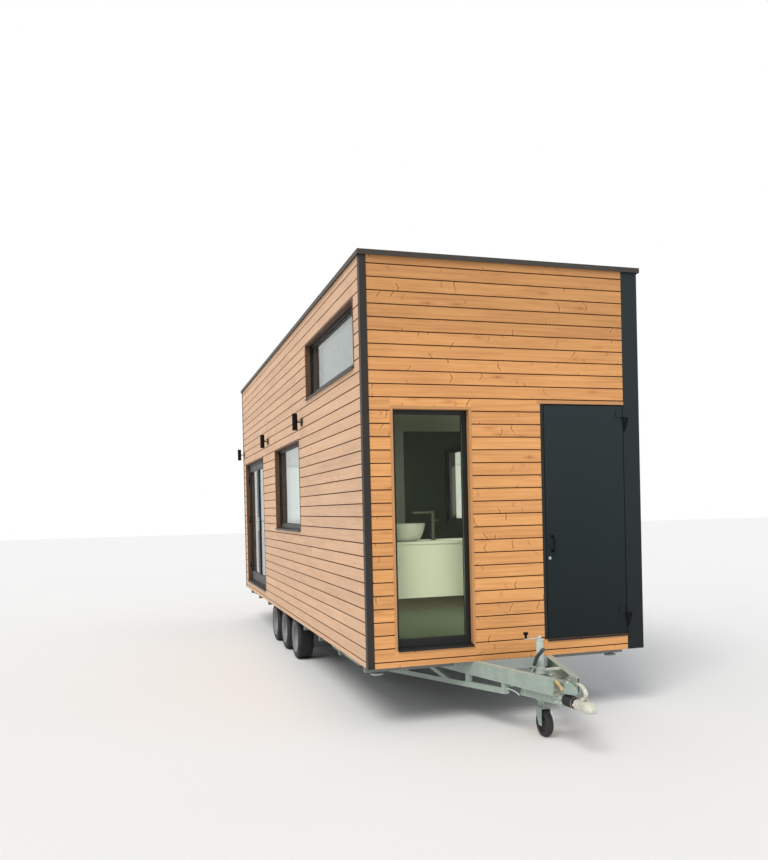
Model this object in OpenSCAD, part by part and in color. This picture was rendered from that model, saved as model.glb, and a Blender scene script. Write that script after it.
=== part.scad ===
// Tiny house on a three-axle trailer, in millimetres.
// X runs across the house, Y from the towing end to the rear, Z up from the ground.
// The origin is on the ground, in the middle of the whole assembly's outline.

/* [House body] */
// Width over the timber cladding on the left and the metal cladding on the right
body_w = 2550; // [2400:10:2600]
// Length over the front and rear cladding
body_l = 7840; // [7600:10:8400]
// Height from the cladding's bottom edge to the top of the roof coping
body_h = 3375; // [3330:5:3500]
// Height of the cladding's bottom edge above the ground
ground_gap = 520; // [500:5:560]
// Thickness of the framed wall behind the cladding
wall_t = 130; // [110:5:150]
// Thickness of the cladding layer
clad_t = 22; // [16:1:28]
// Thickness of the floor deck
floor_t = 137; // [125:1:150]
// Thickness of the roof deck
roof_t = 160; // [120:5:200]
// Height of the wall above the roof deck, behind the coping
parapet_h = 70; // [40:5:100]
// Thickness of the loft floor
loft_t = 110; // [80:5:140]
// Height of the loft floor's underside above the cladding's bottom edge
loft_z = 2170; // [2150:10:2250]
// Length of the loft, from the front wall's inner face
loft_l = 2400; // [2000:50:2600]

/* [Edges and trims] */
// Height of the metal coping round the roof
coping_h = 42; // [30:1:60]
// How far the coping stands out past the cladding
coping_over = 20; // [10:1:30]
// Sheet thickness of the coping
coping_t = 4; // [2:0.5:6]
// Width of each leg of the dark corner trims
corner_w = 54; // [40:1:70]
// How far the corner trims stand proud of the cladding
corner_proud = 4; // [2:0.5:8]
// Width of the metal cladding that turns round onto the front and rear
metal_return = 160; // [120:5:200]
// Spacing of the standing seams of the metal cladding
seam_step = 520; // [400:10:650]
// Height of a standing seam
seam_h = 14; // [8:1:18]

/* [Front window] */
// Distance of the front window's opening from the left side
front_win_x = 230; // [200:5:300]
// Width of the front window's opening
front_win_w = 708; // [600:2:760]
// Height of the front window's opening
front_win_h = 1986; // [1800:2:2020]

/* [Side and rear windows] */
// Distance of the loft window from the front
loft_win_y = 222; // [200:2:300]
// Width of the loft window
loft_win_w = 2053; // [1600:1:2100]
// Height of the loft window
loft_win_h = 592; // [450:2:620]
// Height of the loft window's bottom above the cladding's bottom edge
loft_win_z = 2468; // [2420:2:2500]
// Distance of the middle window from the front
mid_win_y = 2734; // [2650:2:2800]
// Width of the middle window
mid_win_w = 1723; // [1400:1:1800]
// Height of the middle window
mid_win_h = 1040; // [900:2:1060]
// Height of the middle window's bottom above the cladding's bottom edge
mid_win_z = 1061; // [1000:1:1080]
// Width of the rear window
rear_win_w = 1300; // [900:10:1500]

/* [Window make] */
// Thickness of the timber lining boards round an opening
reveal_t = 22; // [16:1:28]
// How far the window frames are set back from the cladding's face
frame_set = 50; // [40:1:60]
// Depth of a window or door frame
frame_d = 70; // [60:1:76]
// Face width of a window or door frame
frame_w = 54; // [46:1:70]
// Thickness of a double-glazed pane
glass_t = 28; // [20:1:36]
// How deep a pane sits in its frame
rebate = 12; // [8:1:16]
// Face width of the outer frame round a sash
outer_frame_w = 22; // [16:1:28]
// How far a sash's face lies behind the outer frame's
sash_set = 9; // [4:1:12]
// How far a sill flashing stands out past the cladding
sill_over = 18; // [10:1:30]

/* [Entrance door] */
// Distance of the entrance's opening from the rear
entry_rear = 292; // [220:2:370]
// Width of the entrance's opening
entry_w = 2020; // [1800:2:2050]
// Height of the entrance's opening
entry_h = 1954; // [1900:2:2010]
// Thickness of a door leaf
leaf_t = 60; // [50:1:64]
// Face width of a leaf's stiles and rails
leaf_w = 84; // [70:1:110]
// Height of a leaf's bottom rail
leaf_bottom = 130; // [90:5:180]

/* [Utility door] */
// Distance of the utility door's leaf from the left side
util_x = 1612; // [1560:2:1640]
// Width of the utility door's leaf
util_w = 772; // [740:2:776]
// Height of the utility door's leaf
util_h = 2006; // [1900:2:2040]
// Thickness of the utility door's leaf
util_t = 40; // [35:1:50]
// Face width of the utility door's frame
util_frame = 30; // [24:1:36]

/* [Door gaps] */
// Gap all round a leaf that swings
door_gap = 7; // [6:0.5:10]
// Radius of the hinge knuckles
knuckle_r = 9; // [7:0.5:12]

/* [Wall lamps] */
// Diameter of a wall lamp's body
lamp_d = 58; // [45:1:70]
// Height of a wall lamp's body
lamp_h = 180; // [140:5:220]
// How far a wall lamp stands out from the cladding
lamp_reach = 110; // [90:1:130]
// Height of the lamps' centres above the cladding's bottom edge
lamp_z = 2262; // [2230:2:2300]

/* [Trailer frame] */
// Height of the trailer's channels
beam_h = 120; // [100:2:126]
// Flange width of the channels
beam_w = 55; // [45:1:65]
// Sheet thickness of the channels
beam_t = 7; // [5:0.5:9]
// Outer width over the two main beams
beam_spread = 1750; // [1600:10:1800]
// How far the drawbar's channels reach in front of the house
drawbar_l = 900; // [850:5:1000]
// Outer width over the drawbar's channels at their front ends
nose_w = 230; // [220:2:270]
// Angle of each drawbar channel to the trailer's centreline
drawbar_angle = 15.4; // [14:0.1:17]
// Height of a cross-member
cross_h = 80; // [60:1:90]
// Width of a cross-member
cross_w = 50; // [40:1:60]
// Side of the truss's square tube
truss_s = 42; // [34:1:50]
// Depth of the truss's top face below the house at the drawbar's end
truss_front_z = 164; // [150:1:190]
// Depth of the truss's top face below the house along the main beams
truss_rear_z = 282; // [260:2:300]
// Y of the truss's front end
truss_front_y = -365; // [-400:5:-340]
// Y of the truss's second post
truss_post_y = 86; // [60:2:120]
// Y of the truss's rear end
truss_end = 3080; // [2900:10:3120]

/* [Wheels] */
// Diameter of a tyre
tyre_d = 525; // [505:1:530]
// Width of a tyre
tyre_w = 190; // [165:1:195]
// Diameter of a rim's outer edge
rim_d = 372; // [340:1:380]
// Gap between the left side of the house and a tyre's outer wall
wheel_in = 55; // [50:1:70]
// Y of the first axle's wheel centres
axle_y = 3600; // [3560:5:3650]
// Distance from one axle to the next
axle_step = 755; // [740:5:790]
// Radius of a stub axle
stub_r = 20; // [16:1:24]
// Side of an axle's square tube
axle_s = 80; // [70:1:90]

/* [Coupling and drawbar fittings] */
// Depth of the coupling tube's centre below the house
coupling_z = 155; // [150:1:160]
// Outer radius of the coupling tube
draw_r = 30; // [25:1:32]
// How far the coupling's tip reaches in front of the house
coupling_reach = 1284; // [1270:1:1320]
// Radius of the towing ball's socket
ball_r = 25.5; // [25.2:0.1:26]
// Y of the jockey wheel's tube
jockey_y = -487; // [-495:1:-480]
// Outer radius of the jockey wheel's outer tube
jockey_r = 30; // [28:0.5:32]
// Radius of the jockey wheel's inner tube
jockey_leg_r = 24; // [22:0.5:25]
// Diameter of the jockey wheel
jockey_d = 210; // [190:2:220]
// How far the jockey wheel trails in front of its tube
jockey_trail = 55; // [40:1:60]
// Length of the handbrake lever
lever_l = 400; // [380:2:410]
// Angle of the handbrake lever above the drawbar
lever_angle = 49; // [44:1:52]

/* [Corner jacks] */
// Distance of the jacks from the front, the rear and the sides
jack_y = 300; // [280:2:330]
// Distance of the jacks from the sides
jack_x = 155; // [140:1:170]
// Radius of a jack's spindle
spindle_r = 12; // [10:0.5:15]
// Radius of a jack's foot
foot_r = 52; // [45:1:60]

/* [Bathroom vanity] */
// Distance of the vanity from the front
vanity_y = 300; // [280:5:400]
// Width of the vanity from the left wall
vanity_w = 1000; // [800:10:1100]
// Depth of the vanity
vanity_d = 460; // [400:5:520]
// Height of the vanity
vanity_h = 480; // [400:5:520]
// Height of the vanity's top above the floor
vanity_top = 865; // [820:5:900]

/* [Hidden] */
$fn = 48;

// Middle of the whole outline, from the house's front left corner
mid_x = (body_w + coping_over - lamp_reach) / 2;
mid_y = (body_l + coping_over - coupling_reach) / 2;

// Heights above the ground
z_house = ground_gap;
z_floor = z_house + floor_t;
z_top = z_house + body_h;
z_wall = z_top - coping_t;
z_roof = z_wall - parapet_h;
z_head = z_house + 2123;

// Inner faces of the walls
in_x0 = clad_t + wall_t;
in_x1 = body_w - in_x0;
in_y0 = in_x0;
in_y1 = body_l - in_x0;

// Sides and heads of the openings
entry_y = body_l - entry_rear - entry_w;
entry_top = z_floor + entry_h;
util_z = z_floor + door_gap;
util_open_x = util_x - door_gap - util_frame;
util_open_top = util_z + util_h + door_gap + util_frame;
rear_win_x = (body_w - rear_win_w) / 2;
metal_x = util_x + util_w + door_gap - 1;

// Fine dimensions
mesh_gap = 0.05;
sill_h = 20;
sill_lip = 12;
frame_threshold = 34;
trim_h = 26;
trim_t = 5;
hinge_plate_t = 5;
hinge_h = 100;
strap_drop = 70;
hinge_pin_r = 5;
seat_gap = 0.3;
centre_x = body_w / 2;
bend_y = (beam_spread - nose_w) / 2 / tan(drawbar_angle) - drawbar_l;
beam_x = centre_x - beam_spread / 2;
beam_end = body_l - 60;
axle_z = tyre_d / 2;
coupling_axis = z_house - coupling_z;
wheel_x = wheel_in + tyre_w / 2;
pocket_h = 66;

module in_frame() { translate([-mid_x, -mid_y, 0]) children(); }

// A plain block between two corners
module block(x0, x1, y0, y1, z0, z1) {
    translate([x0, y0, z0])
        cube([x1 - x0, y1 - y0, z1 - z0]);
}

// The same shape on the left and on the right of the trailer's centreline
module both_sides() {
    children();
    translate([body_w, 0, 0]) mirror([1, 0, 0]) children();
}

// Floor, walls and roof

module floors() {
    in_frame() color("burlywood") {
        floor_deck();
        loft_floor();
    }
}

module floor_deck() {
    difference() {
        block(clad_t, body_w - clad_t, clad_t, body_l - clad_t, z_house, z_floor);
        both_sides() block(clad_t, wheel_in + tyre_w + 30, axle_y - tyre_d / 2 - 60,
            axle_y + 2 * axle_step + tyre_d / 2 + 60, z_house - 1, z_house + pocket_h);
        for (y = [jack_y, body_l - jack_y])
            both_sides() translate([jack_x, y, z_house - 1])
                cylinder(r = spindle_r + 8, h = 113);
    }
}

module loft_floor() {
    block(in_x0, in_x1, in_y0, in_y0 + loft_l, z_house + loft_z, z_house + loft_z + loft_t);
}

module front_wall() {
    in_frame() color("tan") difference() {
        block(clad_t, util_open_x, clad_t, in_y0, z_floor, z_wall);
        block(front_win_x, front_win_x + front_win_w, 0, in_y0 + 1,
            z_floor - 1, z_floor + front_win_h);
    }
}

module left_wall() {
    in_frame() color("tan") difference() {
        block(clad_t, in_x0, in_y0, entry_y, z_floor, z_wall);
        loft_hole(0);
        mid_hole(0);
    }
}

// Window openings in a side wall whose outer face is at x
module loft_hole(x) {
    block(x - 1, x + in_x0 + 1, loft_win_y, loft_win_y + loft_win_w,
        z_house + loft_win_z, z_house + loft_win_z + loft_win_h);
}

module mid_hole(x) {
    block(x - 1, x + in_x0 + 1, mid_win_y, mid_win_y + mid_win_w,
        z_house + mid_win_z, z_house + mid_win_z + mid_win_h);
}

module rear_hole() {
    block(rear_win_x, rear_win_x + rear_win_w, in_y1 - 1, body_l + 1,
        z_house + mid_win_z, z_house + mid_win_z + mid_win_h);
}

module left_wall_pier() {
    in_frame() color("tan")
        block(clad_t, in_x0, entry_y + entry_w, in_y1, z_floor, z_wall);
}

module right_wall() {
    in_frame() color("tan") difference() {
        block(in_x1, body_w - clad_t, clad_t, body_l - clad_t, z_floor, z_wall);
        loft_hole(in_x1);
        mid_hole(in_x1);
    }
}

module rear_wall() {
    in_frame() color("tan") difference() {
        block(clad_t, in_x1, in_y1, body_l - clad_t, z_floor, z_wall);
        rear_hole();
    }
}

module door_headers() {
    in_frame() color("tan") {
        block(util_open_x, in_x1, clad_t, in_y0, util_open_top, z_wall);
        block(clad_t, in_x0, entry_y, entry_y + entry_w, entry_top, z_wall);
    }
}

module roof_deck() {
    in_frame() color("dimgray")
        block(in_x0, in_x1, in_y0, in_y1, z_roof - roof_t, z_roof);
}

// Bent sheet that covers the top of the walls and turns down outside and inside
module roof_coping() {
    in_frame() color("darkslategray") difference() {
        block(-coping_over, body_w + coping_over, -coping_over, body_l + coping_over,
            z_top - coping_h, z_top);
        block(in_x0 + coping_t, in_x1 - coping_t, in_y0 + coping_t, in_y1 - coping_t,
            z_top - coping_h - 1, z_top + 1);
        difference() {
            block(-coping_over + coping_t, body_w + coping_over - coping_t,
                -coping_over + coping_t, body_l + coping_over - coping_t,
                z_top - coping_h - 1, z_wall);
            block(in_x0, in_x1, in_y0, in_y1, z_top - coping_h - 2, z_wall + 1);
        }
    }
}

// Cladding, trims, linings and sills

module timber_cladding() {
    in_frame() color("peru") {
        difference() {
            block(corner_w, metal_x, 0, clad_t, z_house, z_wall);
            block(front_win_x, front_win_x + front_win_w, -1, clad_t + 1,
                z_floor, z_floor + front_win_h);
            block(util_open_x, metal_x + 1, -1, clad_t + 1, z_floor, util_open_top);
        }
        difference() {
            block(0, clad_t, corner_w, body_l - corner_w, z_house, z_wall);
            loft_hole(0);
            mid_hole(0);
            block(-1, clad_t + 1, entry_y, entry_y + entry_w, z_floor, entry_top);
        }
        difference() {
            block(corner_w, body_w - metal_return, body_l - clad_t, body_l, z_house, z_wall);
            rear_hole();
        }
    }
}

module metal_cladding() {
    in_frame() color("darkslategray") difference() {
        union() {
            block(body_w - clad_t, body_w, 0, body_l, z_house, z_wall);
            block(metal_x, body_w, 0, clad_t, z_house, z_wall);
            block(body_w - metal_return, body_w, body_l - clad_t, body_l, z_house, z_wall);
            for (y = [seam_step / 2 : seam_step : body_l - seam_step / 4])
                block(body_w - 1, body_w + seam_h, y - 4, y + 4,
                    z_house, z_top - coping_h - 1);
        }
        translate([in_x1, 0, 0]) {
            loft_cut();
            mid_cut();
        }
    }
}

// Openings through the metal cladding and the seams that stand on it
module loft_cut() {
    block(0, in_x0 + seam_h + 1, loft_win_y, loft_win_y + loft_win_w,
        z_house + loft_win_z, z_house + loft_win_z + loft_win_h);
}

module mid_cut() {
    block(0, in_x0 + seam_h + 1, mid_win_y, mid_win_y + mid_win_w,
        z_house + mid_win_z, z_house + mid_win_z + mid_win_h);
}

// Angle that covers the corner between two timber faces
module corner_trim() {
    difference() {
        block(-corner_proud, corner_w, -corner_proud, corner_w, z_house, z_top - coping_h);
        block(clad_t, corner_w + 1, clad_t, corner_w + 1, z_house - 1, z_top);
    }
}

module corner_trims() {
    in_frame() color("dimgray") {
        corner_trim();
        translate([0, body_l, 0]) mirror([0, 1, 0]) corner_trim();
    }
}

// Lining of an opening of width w and height h, in the XZ plane, with its mouth at -Y
module lining(w, h, d) {
    difference() {
        block(0, w, -3, d, 0, h);
        block(reveal_t, w - reveal_t, -4, d + 1, -1, h - reveal_t);
    }
}

// Puts an upright XZ shape into the left side wall at y, or into the right one
module on_left(y, z) { translate([0, y, z]) mirror([1, -1, 0]) children(); }

module on_right(y, z) { translate([body_w, y, z]) rotate([0, 0, 90]) children(); }

module on_rear(z) { translate([rear_win_x + rear_win_w, body_l, z]) rotate([0, 0, 180]) children(); }

// Every fixed window opening, as children(0) front, (1) loft, (2) middle and (3) rear
module at_windows() {
    translate([front_win_x, 0, z_floor]) children(0);
    on_left(loft_win_y, z_house + loft_win_z) children(1);
    on_left(mid_win_y, z_house + mid_win_z) children(2);
    on_right(loft_win_y, z_house + loft_win_z) children(1);
    on_right(mid_win_y, z_house + mid_win_z) children(2);
    on_rear(z_house + mid_win_z) children(3);
}

module window_linings() {
    in_frame() color("peru") {
        at_windows() {
            lining(front_win_w, front_win_h, frame_set);
            lining(loft_win_w, loft_win_h, frame_set);
            lining(mid_win_w, mid_win_h, frame_set);
            lining(rear_win_w, mid_win_h, frame_set);
        }
        on_left(entry_y, z_floor) lining(entry_w, entry_h, frame_set);
        utility_head_trim();
    }
}

// Thin board over the head of the utility door's frame
module utility_head_trim() {
    z0 = util_open_top - trim_h;
    block(util_open_x - trim_h, util_open_x + 1, -trim_t, 0, z0, util_open_top);
    block(util_open_x, metal_x, -trim_t, util_set, z0, util_open_top);
}

// Sloped sill flashing across an opening of width w, with a drip at its front
module sill(w, d) {
    translate([reveal_t, 0, 0])
        rotate([90, 0, 90])
            linear_extrude(w - 2 * reveal_t)
                polygon([[-sill_over, -sill_lip], [-sill_over + 3, -sill_lip],
                    [-sill_over + 3, 0], [d, 0], [d, sill_h], [-sill_over, 6]]);
}

module sill_flashings() {
    in_frame() color("darkslategray") {
        at_windows() {
            sill(front_win_w, frame_set);
            sill(loft_win_w, frame_set);
            sill(mid_win_w, frame_set);
            sill(rear_win_w, frame_set);
        }
        on_left(entry_y, z_floor) sill(entry_w, frame_set);
        utility_sill_lip();
    }
}

// Folded lip under the utility door
module utility_sill_lip() {
    lip_y = -10;
    lip_t = 2;
    x0 = util_x - 11;
    x1 = metal_x + 30;
    block(x0, x1, lip_y, 0, z_floor - lip_t, z_floor);
    block(x0, x1, lip_y, lip_y + lip_t, z_floor - 16, z_floor - 1);
}

// Fixed window for an opening of width w and height h: a frame with a sash set back in it
// and a groove for its pane
module window_frame(w, h) {
    translate([0, frame_set, 0]) difference() {
        block(0, w, 0, frame_d, 0, h);
        block(outer_frame_w, w - outer_frame_w, -1, sash_set,
            outer_frame_w + sill_h, h - outer_frame_w);
        block(frame_w, w - frame_w, -1, frame_d + 1, frame_w + sill_h, h - frame_w);
        pane_space(w, h, mesh_gap);
    }
}

// The pane's own space, grown by a gap
module pane_space(w, h, gap) {
    block(frame_w - rebate - gap, w - frame_w + rebate + gap,
        (frame_d - glass_t) / 2 - gap, (frame_d + glass_t) / 2 + gap,
        frame_w + sill_h - rebate - gap, h - frame_w + rebate + gap);
}

module window_frames() {
    in_frame() color("darkslategray") at_windows() {
        window_frame(front_win_w, front_win_h);
        window_frame(loft_win_w, loft_win_h);
        window_frame(mid_win_w, mid_win_h);
        window_frame(rear_win_w, mid_win_h);
    }
}

module pane(w, h) { translate([0, frame_set, 0]) pane_space(w, h, 0); }

module window_glass() {
    in_frame() color("lightcyan") at_windows() {
        pane(front_win_w, front_win_h);
        pane(loft_win_w, loft_win_h);
        pane(mid_win_w, mid_win_h);
        pane(rear_win_w, mid_win_h);
    }
}

// Entrance

entry_in_w = entry_w - 2 * frame_w;
leaf_meet = door_gap + 5;
leaf_l = (entry_in_w - 2 * door_gap - leaf_meet) / 2;
leaf_h = entry_h - frame_w - frame_threshold - 2 * door_gap;
leaf_z = z_floor + frame_threshold + door_gap;
leaf_set = frame_set + 2;
entry_pivot_x = frame_set - knuckle_r;
entry_pivot_y = entry_y + frame_w + door_gap / 2;
entry_hinge_z = [leaf_z + 180, leaf_z + leaf_h / 2, leaf_z + leaf_h - 260];

module door_frames() {
    in_frame() color("darkslategray") {
        entrance_frame();
        utility_door_frame();
    }
}

module entrance_frame() {
    on_left(entry_y, z_floor) translate([0, frame_set, 0]) difference() {
        block(0, entry_w, 0, frame_d, 0, entry_h);
        block(frame_w, entry_w - frame_w, -1, frame_d + 1, frame_threshold, entry_h - frame_w);
    }
}

// Fixed half of a hinge at the origin: the lower knuckle with its pin
module hinge_fixed() {
    cylinder(r = knuckle_r, h = hinge_h / 2);
    cylinder(r = hinge_pin_r, h = hinge_h);
}

// Moving half of a hinge at the origin: the upper knuckle, bored for the pin
module hinge_moving() {
    translate([0, 0, hinge_h / 2 + seat_gap]) difference() {
        cylinder(r = knuckle_r, h = hinge_h / 2 + 6);
        translate([0, 0, -1]) cylinder(r = hinge_pin_r + mesh_gap, h = hinge_h / 2 + 2);
    }
}

// The near leaf, hinged at its front edge; the far leaf mirrors it about the opening's middle
module leaf_near() {
    on_left(entry_y + frame_w + door_gap, leaf_z) translate([0, leaf_set, 0]) difference() {
        block(0, leaf_l, 0, leaf_t, 0, leaf_h);
        block(leaf_w, leaf_l - leaf_w, -1, leaf_t + 1, leaf_bottom, leaf_h - leaf_w);
        leaf_pane_space(mesh_gap);
    }
    for (z = entry_hinge_z) {
        translate([entry_pivot_x, entry_pivot_y, z]) hinge_moving();
        difference() {
            block(entry_pivot_x, leaf_set + 1, entry_pivot_y, entry_pivot_y + 34,
                z + hinge_h / 2 + seat_gap, z + hinge_h + 6);
            block(0, entry_pivot_x + knuckle_r - hinge_plate_t, entry_pivot_y - 1,
                entry_pivot_y + 40, z, z + 2 * hinge_h);
            translate([entry_pivot_x, entry_pivot_y, z])
                cylinder(r = hinge_pin_r + mesh_gap, h = hinge_h + 1);
        }
    }
}

module leaf_pane_space(gap) {
    block(leaf_w - rebate - gap, leaf_l - leaf_w + rebate + gap,
        (leaf_t - glass_t) / 2 - gap, (leaf_t + glass_t) / 2 + gap,
        leaf_bottom - rebate - gap, leaf_h - leaf_w + rebate + gap);
}

module leaf_pane() {
    on_left(entry_y + frame_w + door_gap, leaf_z) translate([0, leaf_set, 0]) leaf_pane_space(0);
}

module far_side() {
    translate([0, 2 * entry_y + entry_w, 0]) mirror([0, 1, 0]) children();
}

module entrance_leaf_near() { in_frame() color("darkslategray") leaf_near(); }

module entrance_leaf_far() { in_frame() color("darkslategray") far_side() leaf_near(); }

module entrance_glass_near() { in_frame() color("lightcyan") leaf_pane(); }

module entrance_glass_far() { in_frame() color("lightcyan") far_side() leaf_pane(); }

// Lever handle and its plate on the near leaf's meeting stile
handle_y = entry_y + frame_w + door_gap + leaf_l - leaf_w / 2;
handle_z = leaf_z + 960;

module entrance_handle() {
    in_frame() color("dimgray") {
        block(leaf_set - 8, leaf_set, handle_y - 16, handle_y + 16,
            handle_z - 150, handle_z + 60);
        translate([leaf_set - 8, handle_y, handle_z])
            rotate([0, -90, 0]) cylinder(r = 9, h = 42);
        translate([leaf_set - 50, handle_y + 9, handle_z])
            rotate([90, 0, 0]) cylinder(r = 9, h = 130);
    }
}

// Utility door in the front wall

util_set = 2;
util_pivot_x = util_x + util_w + door_gap / 2;
util_pivot_y = -knuckle_r;
util_handle_x = util_x + 55;
util_handle_z = z_house + 885;
util_hinge_z = [z_house + 275, z_house + 2002];

module utility_door_frame() {
    difference() {
        block(util_open_x, in_x1, util_set, util_set + util_t + util_frame,
            z_floor, util_open_top);
        block(util_open_x + util_frame, in_x1 + 1, util_set - 1, util_set + util_t + door_gap,
            z_floor - 1, util_open_top - util_frame);
        block(util_open_x + util_frame + 20, in_x1 + 1, 0, 2 * wall_t,
            z_floor - 1, util_open_top - util_frame - 20);
        block(metal_x - seat_gap, in_x1 + 1, 0, clad_t + seat_gap,
            z_floor - 1, util_open_top + 1);
    }
}

module utility_door() {
    in_frame() color("darkslategray") {
        block(util_x, util_x + util_w, util_set, util_set + util_t, util_z, util_z + util_h);
        for (z = util_hinge_z) {
            translate([util_pivot_x, util_pivot_y, z]) hinge_moving();
            difference() {
                block(util_pivot_x - 74, util_pivot_x, -hinge_plate_t, util_set + 1,
                    z + hinge_h / 2 + seat_gap, z + hinge_h + 6);
                translate([util_pivot_x, util_pivot_y, z])
                    cylinder(r = hinge_pin_r + mesh_gap, h = hinge_h + 1);
            }
        }
    }
}

// Bow handle with two feet, and a round lock below it
module utility_door_handle() {
    handle_l = 147;
    in_frame() color("silver") {
        for (z = [0, handle_l - 16])
            translate([util_handle_x, util_set, util_handle_z + z + 8])
                rotate([90, 0, 0]) cylinder(r = 6, h = 34);
        translate([util_handle_x, util_set - 34, util_handle_z])
            cylinder(r = 8, h = handle_l);
        translate([util_x + 27, util_set, util_handle_z - 50])
            rotate([90, 0, 0]) cylinder(r = 14, h = 10);
    }
}

// Fixed halves of the butt hinges, each with a plate on the frame or the wall
module door_hinges() {
    in_frame() color("dimgray") {
        for (z = util_hinge_z) {
            translate([util_pivot_x, util_pivot_y, z]) hinge_fixed();
            translate([0, 0, z]) hinge_strap();
        }
        entry_hinges();
        far_side() entry_hinges();
    }
}

// Strap beside the utility door that narrows downwards from the lower knuckle
module hinge_strap() {
    x1 = metal_x + 46;
    rotate([90, 0, 0]) linear_extrude(hinge_plate_t)
        polygon([[util_pivot_x, hinge_h / 2], [x1, hinge_h / 2], [x1, hinge_h / 4],
            [util_pivot_x + 20, -strap_drop], [util_pivot_x, -strap_drop]]);
}

module entry_hinges() {
    for (z = entry_hinge_z) {
        translate([entry_pivot_x, entry_pivot_y, z]) hinge_fixed();
        block(frame_set - hinge_plate_t, frame_set, entry_pivot_y - 32, entry_pivot_y,
            z, z + hinge_h / 2);
    }
}

// Lamps on the left wall

lamp_y = [mid_win_y - 209, entry_y - 518, body_l - 111];

module wall_lamp() {
    rotate([0, -90, 0]) cylinder(r = 46, h = 12);
    rotate([0, -90, 0]) cylinder(r = 7, h = lamp_reach - lamp_d / 2);
    translate([-lamp_reach + lamp_d / 2, 0, -lamp_h / 2]) difference() {
        cylinder(r = lamp_d / 2, h = lamp_h);
        for (z = [-1, lamp_h - 24])
            translate([0, 0, z]) cylinder(r = lamp_d / 2 - 4, h = 25);
    }
}

module wall_lamps() {
    in_frame() color("black") for (y = lamp_y)
        translate([0, y, z_house + lamp_z]) wall_lamp();
}

// Bathroom pieces that show through the front window

vanity_z = z_floor + vanity_top;
basin_x = in_x0 + 330;
basin_y = vanity_y + vanity_d / 2;
basin_h = 155;

module vanity() {
    in_frame() color("whitesmoke") {
        block(in_x0, in_x0 + vanity_w, vanity_y, vanity_y + vanity_d,
            vanity_z - vanity_h, vanity_z - 25);
        block(in_x0, in_x0 + vanity_w + 8, vanity_y - 8, vanity_y + vanity_d + 8,
            vanity_z - 22, vanity_z);
        block(in_x0, in_x0 + vanity_w - 12, vanity_y + 12, vanity_y + vanity_d - 12,
            vanity_z - 26, vanity_z - 21);
    }
}

module basin() {
    in_frame() color("white") translate([basin_x, basin_y, vanity_z]) rotate_extrude()
        polygon([[0, 0], [130, 0], [180, 60], [205, basin_h], [193, basin_h],
            [168, 66], [122, 16], [0, 12]]);
}

module basin_tap() {
    tap_x = in_x0 + 620;
    tap_h = 262;
    in_frame() color("silver") translate([tap_x, basin_y, vanity_z]) {
        cylinder(r = 26, h = 8);
        cylinder(r = 16, h = tap_h);
        translate([0, 0, tap_h - 14]) rotate([0, -90, 0]) cylinder(r = 11, h = 190);
        translate([0, 0, 175]) rotate([0, 90, 0]) cylinder(r = 9, h = 62);
    }
}

// Trailer frame

// Plan of a strip that follows a drawbar channel and its main beam, between two offsets
// from their outer edge
module beam_strip(d0, d1, y_front, y_rear) {
    function bend(d) = [beam_x + d, bend_y + d * tan(drawbar_angle / 2)];
    polygon([[channel_x(d0, y_front), y_front], [channel_x(d1, y_front), y_front], bend(d1),
        [beam_x + d1, y_rear], [beam_x + d0, y_rear], bend(d0)]);
}

module beam_part(d0, d1, z0, z1) {
    translate([0, 0, z0]) linear_extrude(z1 - z0)
        beam_strip(d0, d1, -drawbar_l, beam_end);
}

module trailer_beams() {
    in_frame() color("lightslategray") both_sides() {
        beam_part(0, beam_t, z_house - beam_h, z_house);
        beam_part(0, beam_w, z_house - beam_t, z_house);
        beam_part(0, beam_w, z_house - beam_h, z_house - beam_h + beam_t);
    }
}

cross_y = [jack_y - cross_w / 2, 1180, 2080, 2900, 5640, 6600, body_l - jack_y - cross_w / 2];
cross_inner_y = [3210, 4020, 4770];

// Bar between the drawbar's channels, just in front of the house
front_bar_gap = 4;
front_bar_x = channel_x(beam_w / 2, -front_bar_gap - cross_w / 2);

module cross_members() {
    in_frame() color("lightslategray") difference() {
        union() {
            for (y = cross_y)
                block(45, body_w - 45, y, y + cross_w, z_house - cross_h, z_house);
            for (y = cross_inner_y)
                block(beam_x, body_w - beam_x, y, y + cross_w, z_house - cross_h, z_house);
            block(front_bar_x, body_w - front_bar_x, -front_bar_gap - cross_w, -front_bar_gap,
                z_house - cross_h, z_house);
        }
        both_sides() beam_part(0, beam_w, z_house - beam_h - 1, z_house + 1);
        for (y = [jack_y, body_l - jack_y])
            both_sides() translate([jack_x, y, z_house - cross_h - 1])
                cylinder(r = spindle_r + mesh_gap, h = cross_h + 2);
    }
}

// Lower chord of square tube with posts and braces up to the channel
truss_offset = 3;
bar_s = truss_s - 6;
bar_in = truss_offset + (truss_s - bar_s) / 2;
brace_in = 248;
brace_run = 360;
truss_mid_y = (truss_post_y + bend_y) / 2;
truss_rear_y = (bend_y + truss_end) / 2;

function chord_drop(y) = y >= bend_y ? truss_rear_z
    : truss_front_z + (truss_rear_z - truss_front_z) * (y - truss_front_y) / (bend_y - truss_front_y);

// One straight chord between two stations, as a slice of the beam's strip
module chord(y0, y1) {
    rise = chord_drop(y1) - chord_drop(y0);
    intersection() {
        translate([0, 0, z_house - 500]) linear_extrude(500)
            beam_strip(truss_offset, truss_offset + truss_s, y0, truss_end);
        translate([0, y0, z_house - chord_drop(y0)])
            rotate([90, 0, 90]) linear_extrude(body_w)
                polygon([[0, 0], [y1 - y0, -rise], [y1 - y0, -rise - truss_s], [0, -truss_s]]);
    }
}

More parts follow.
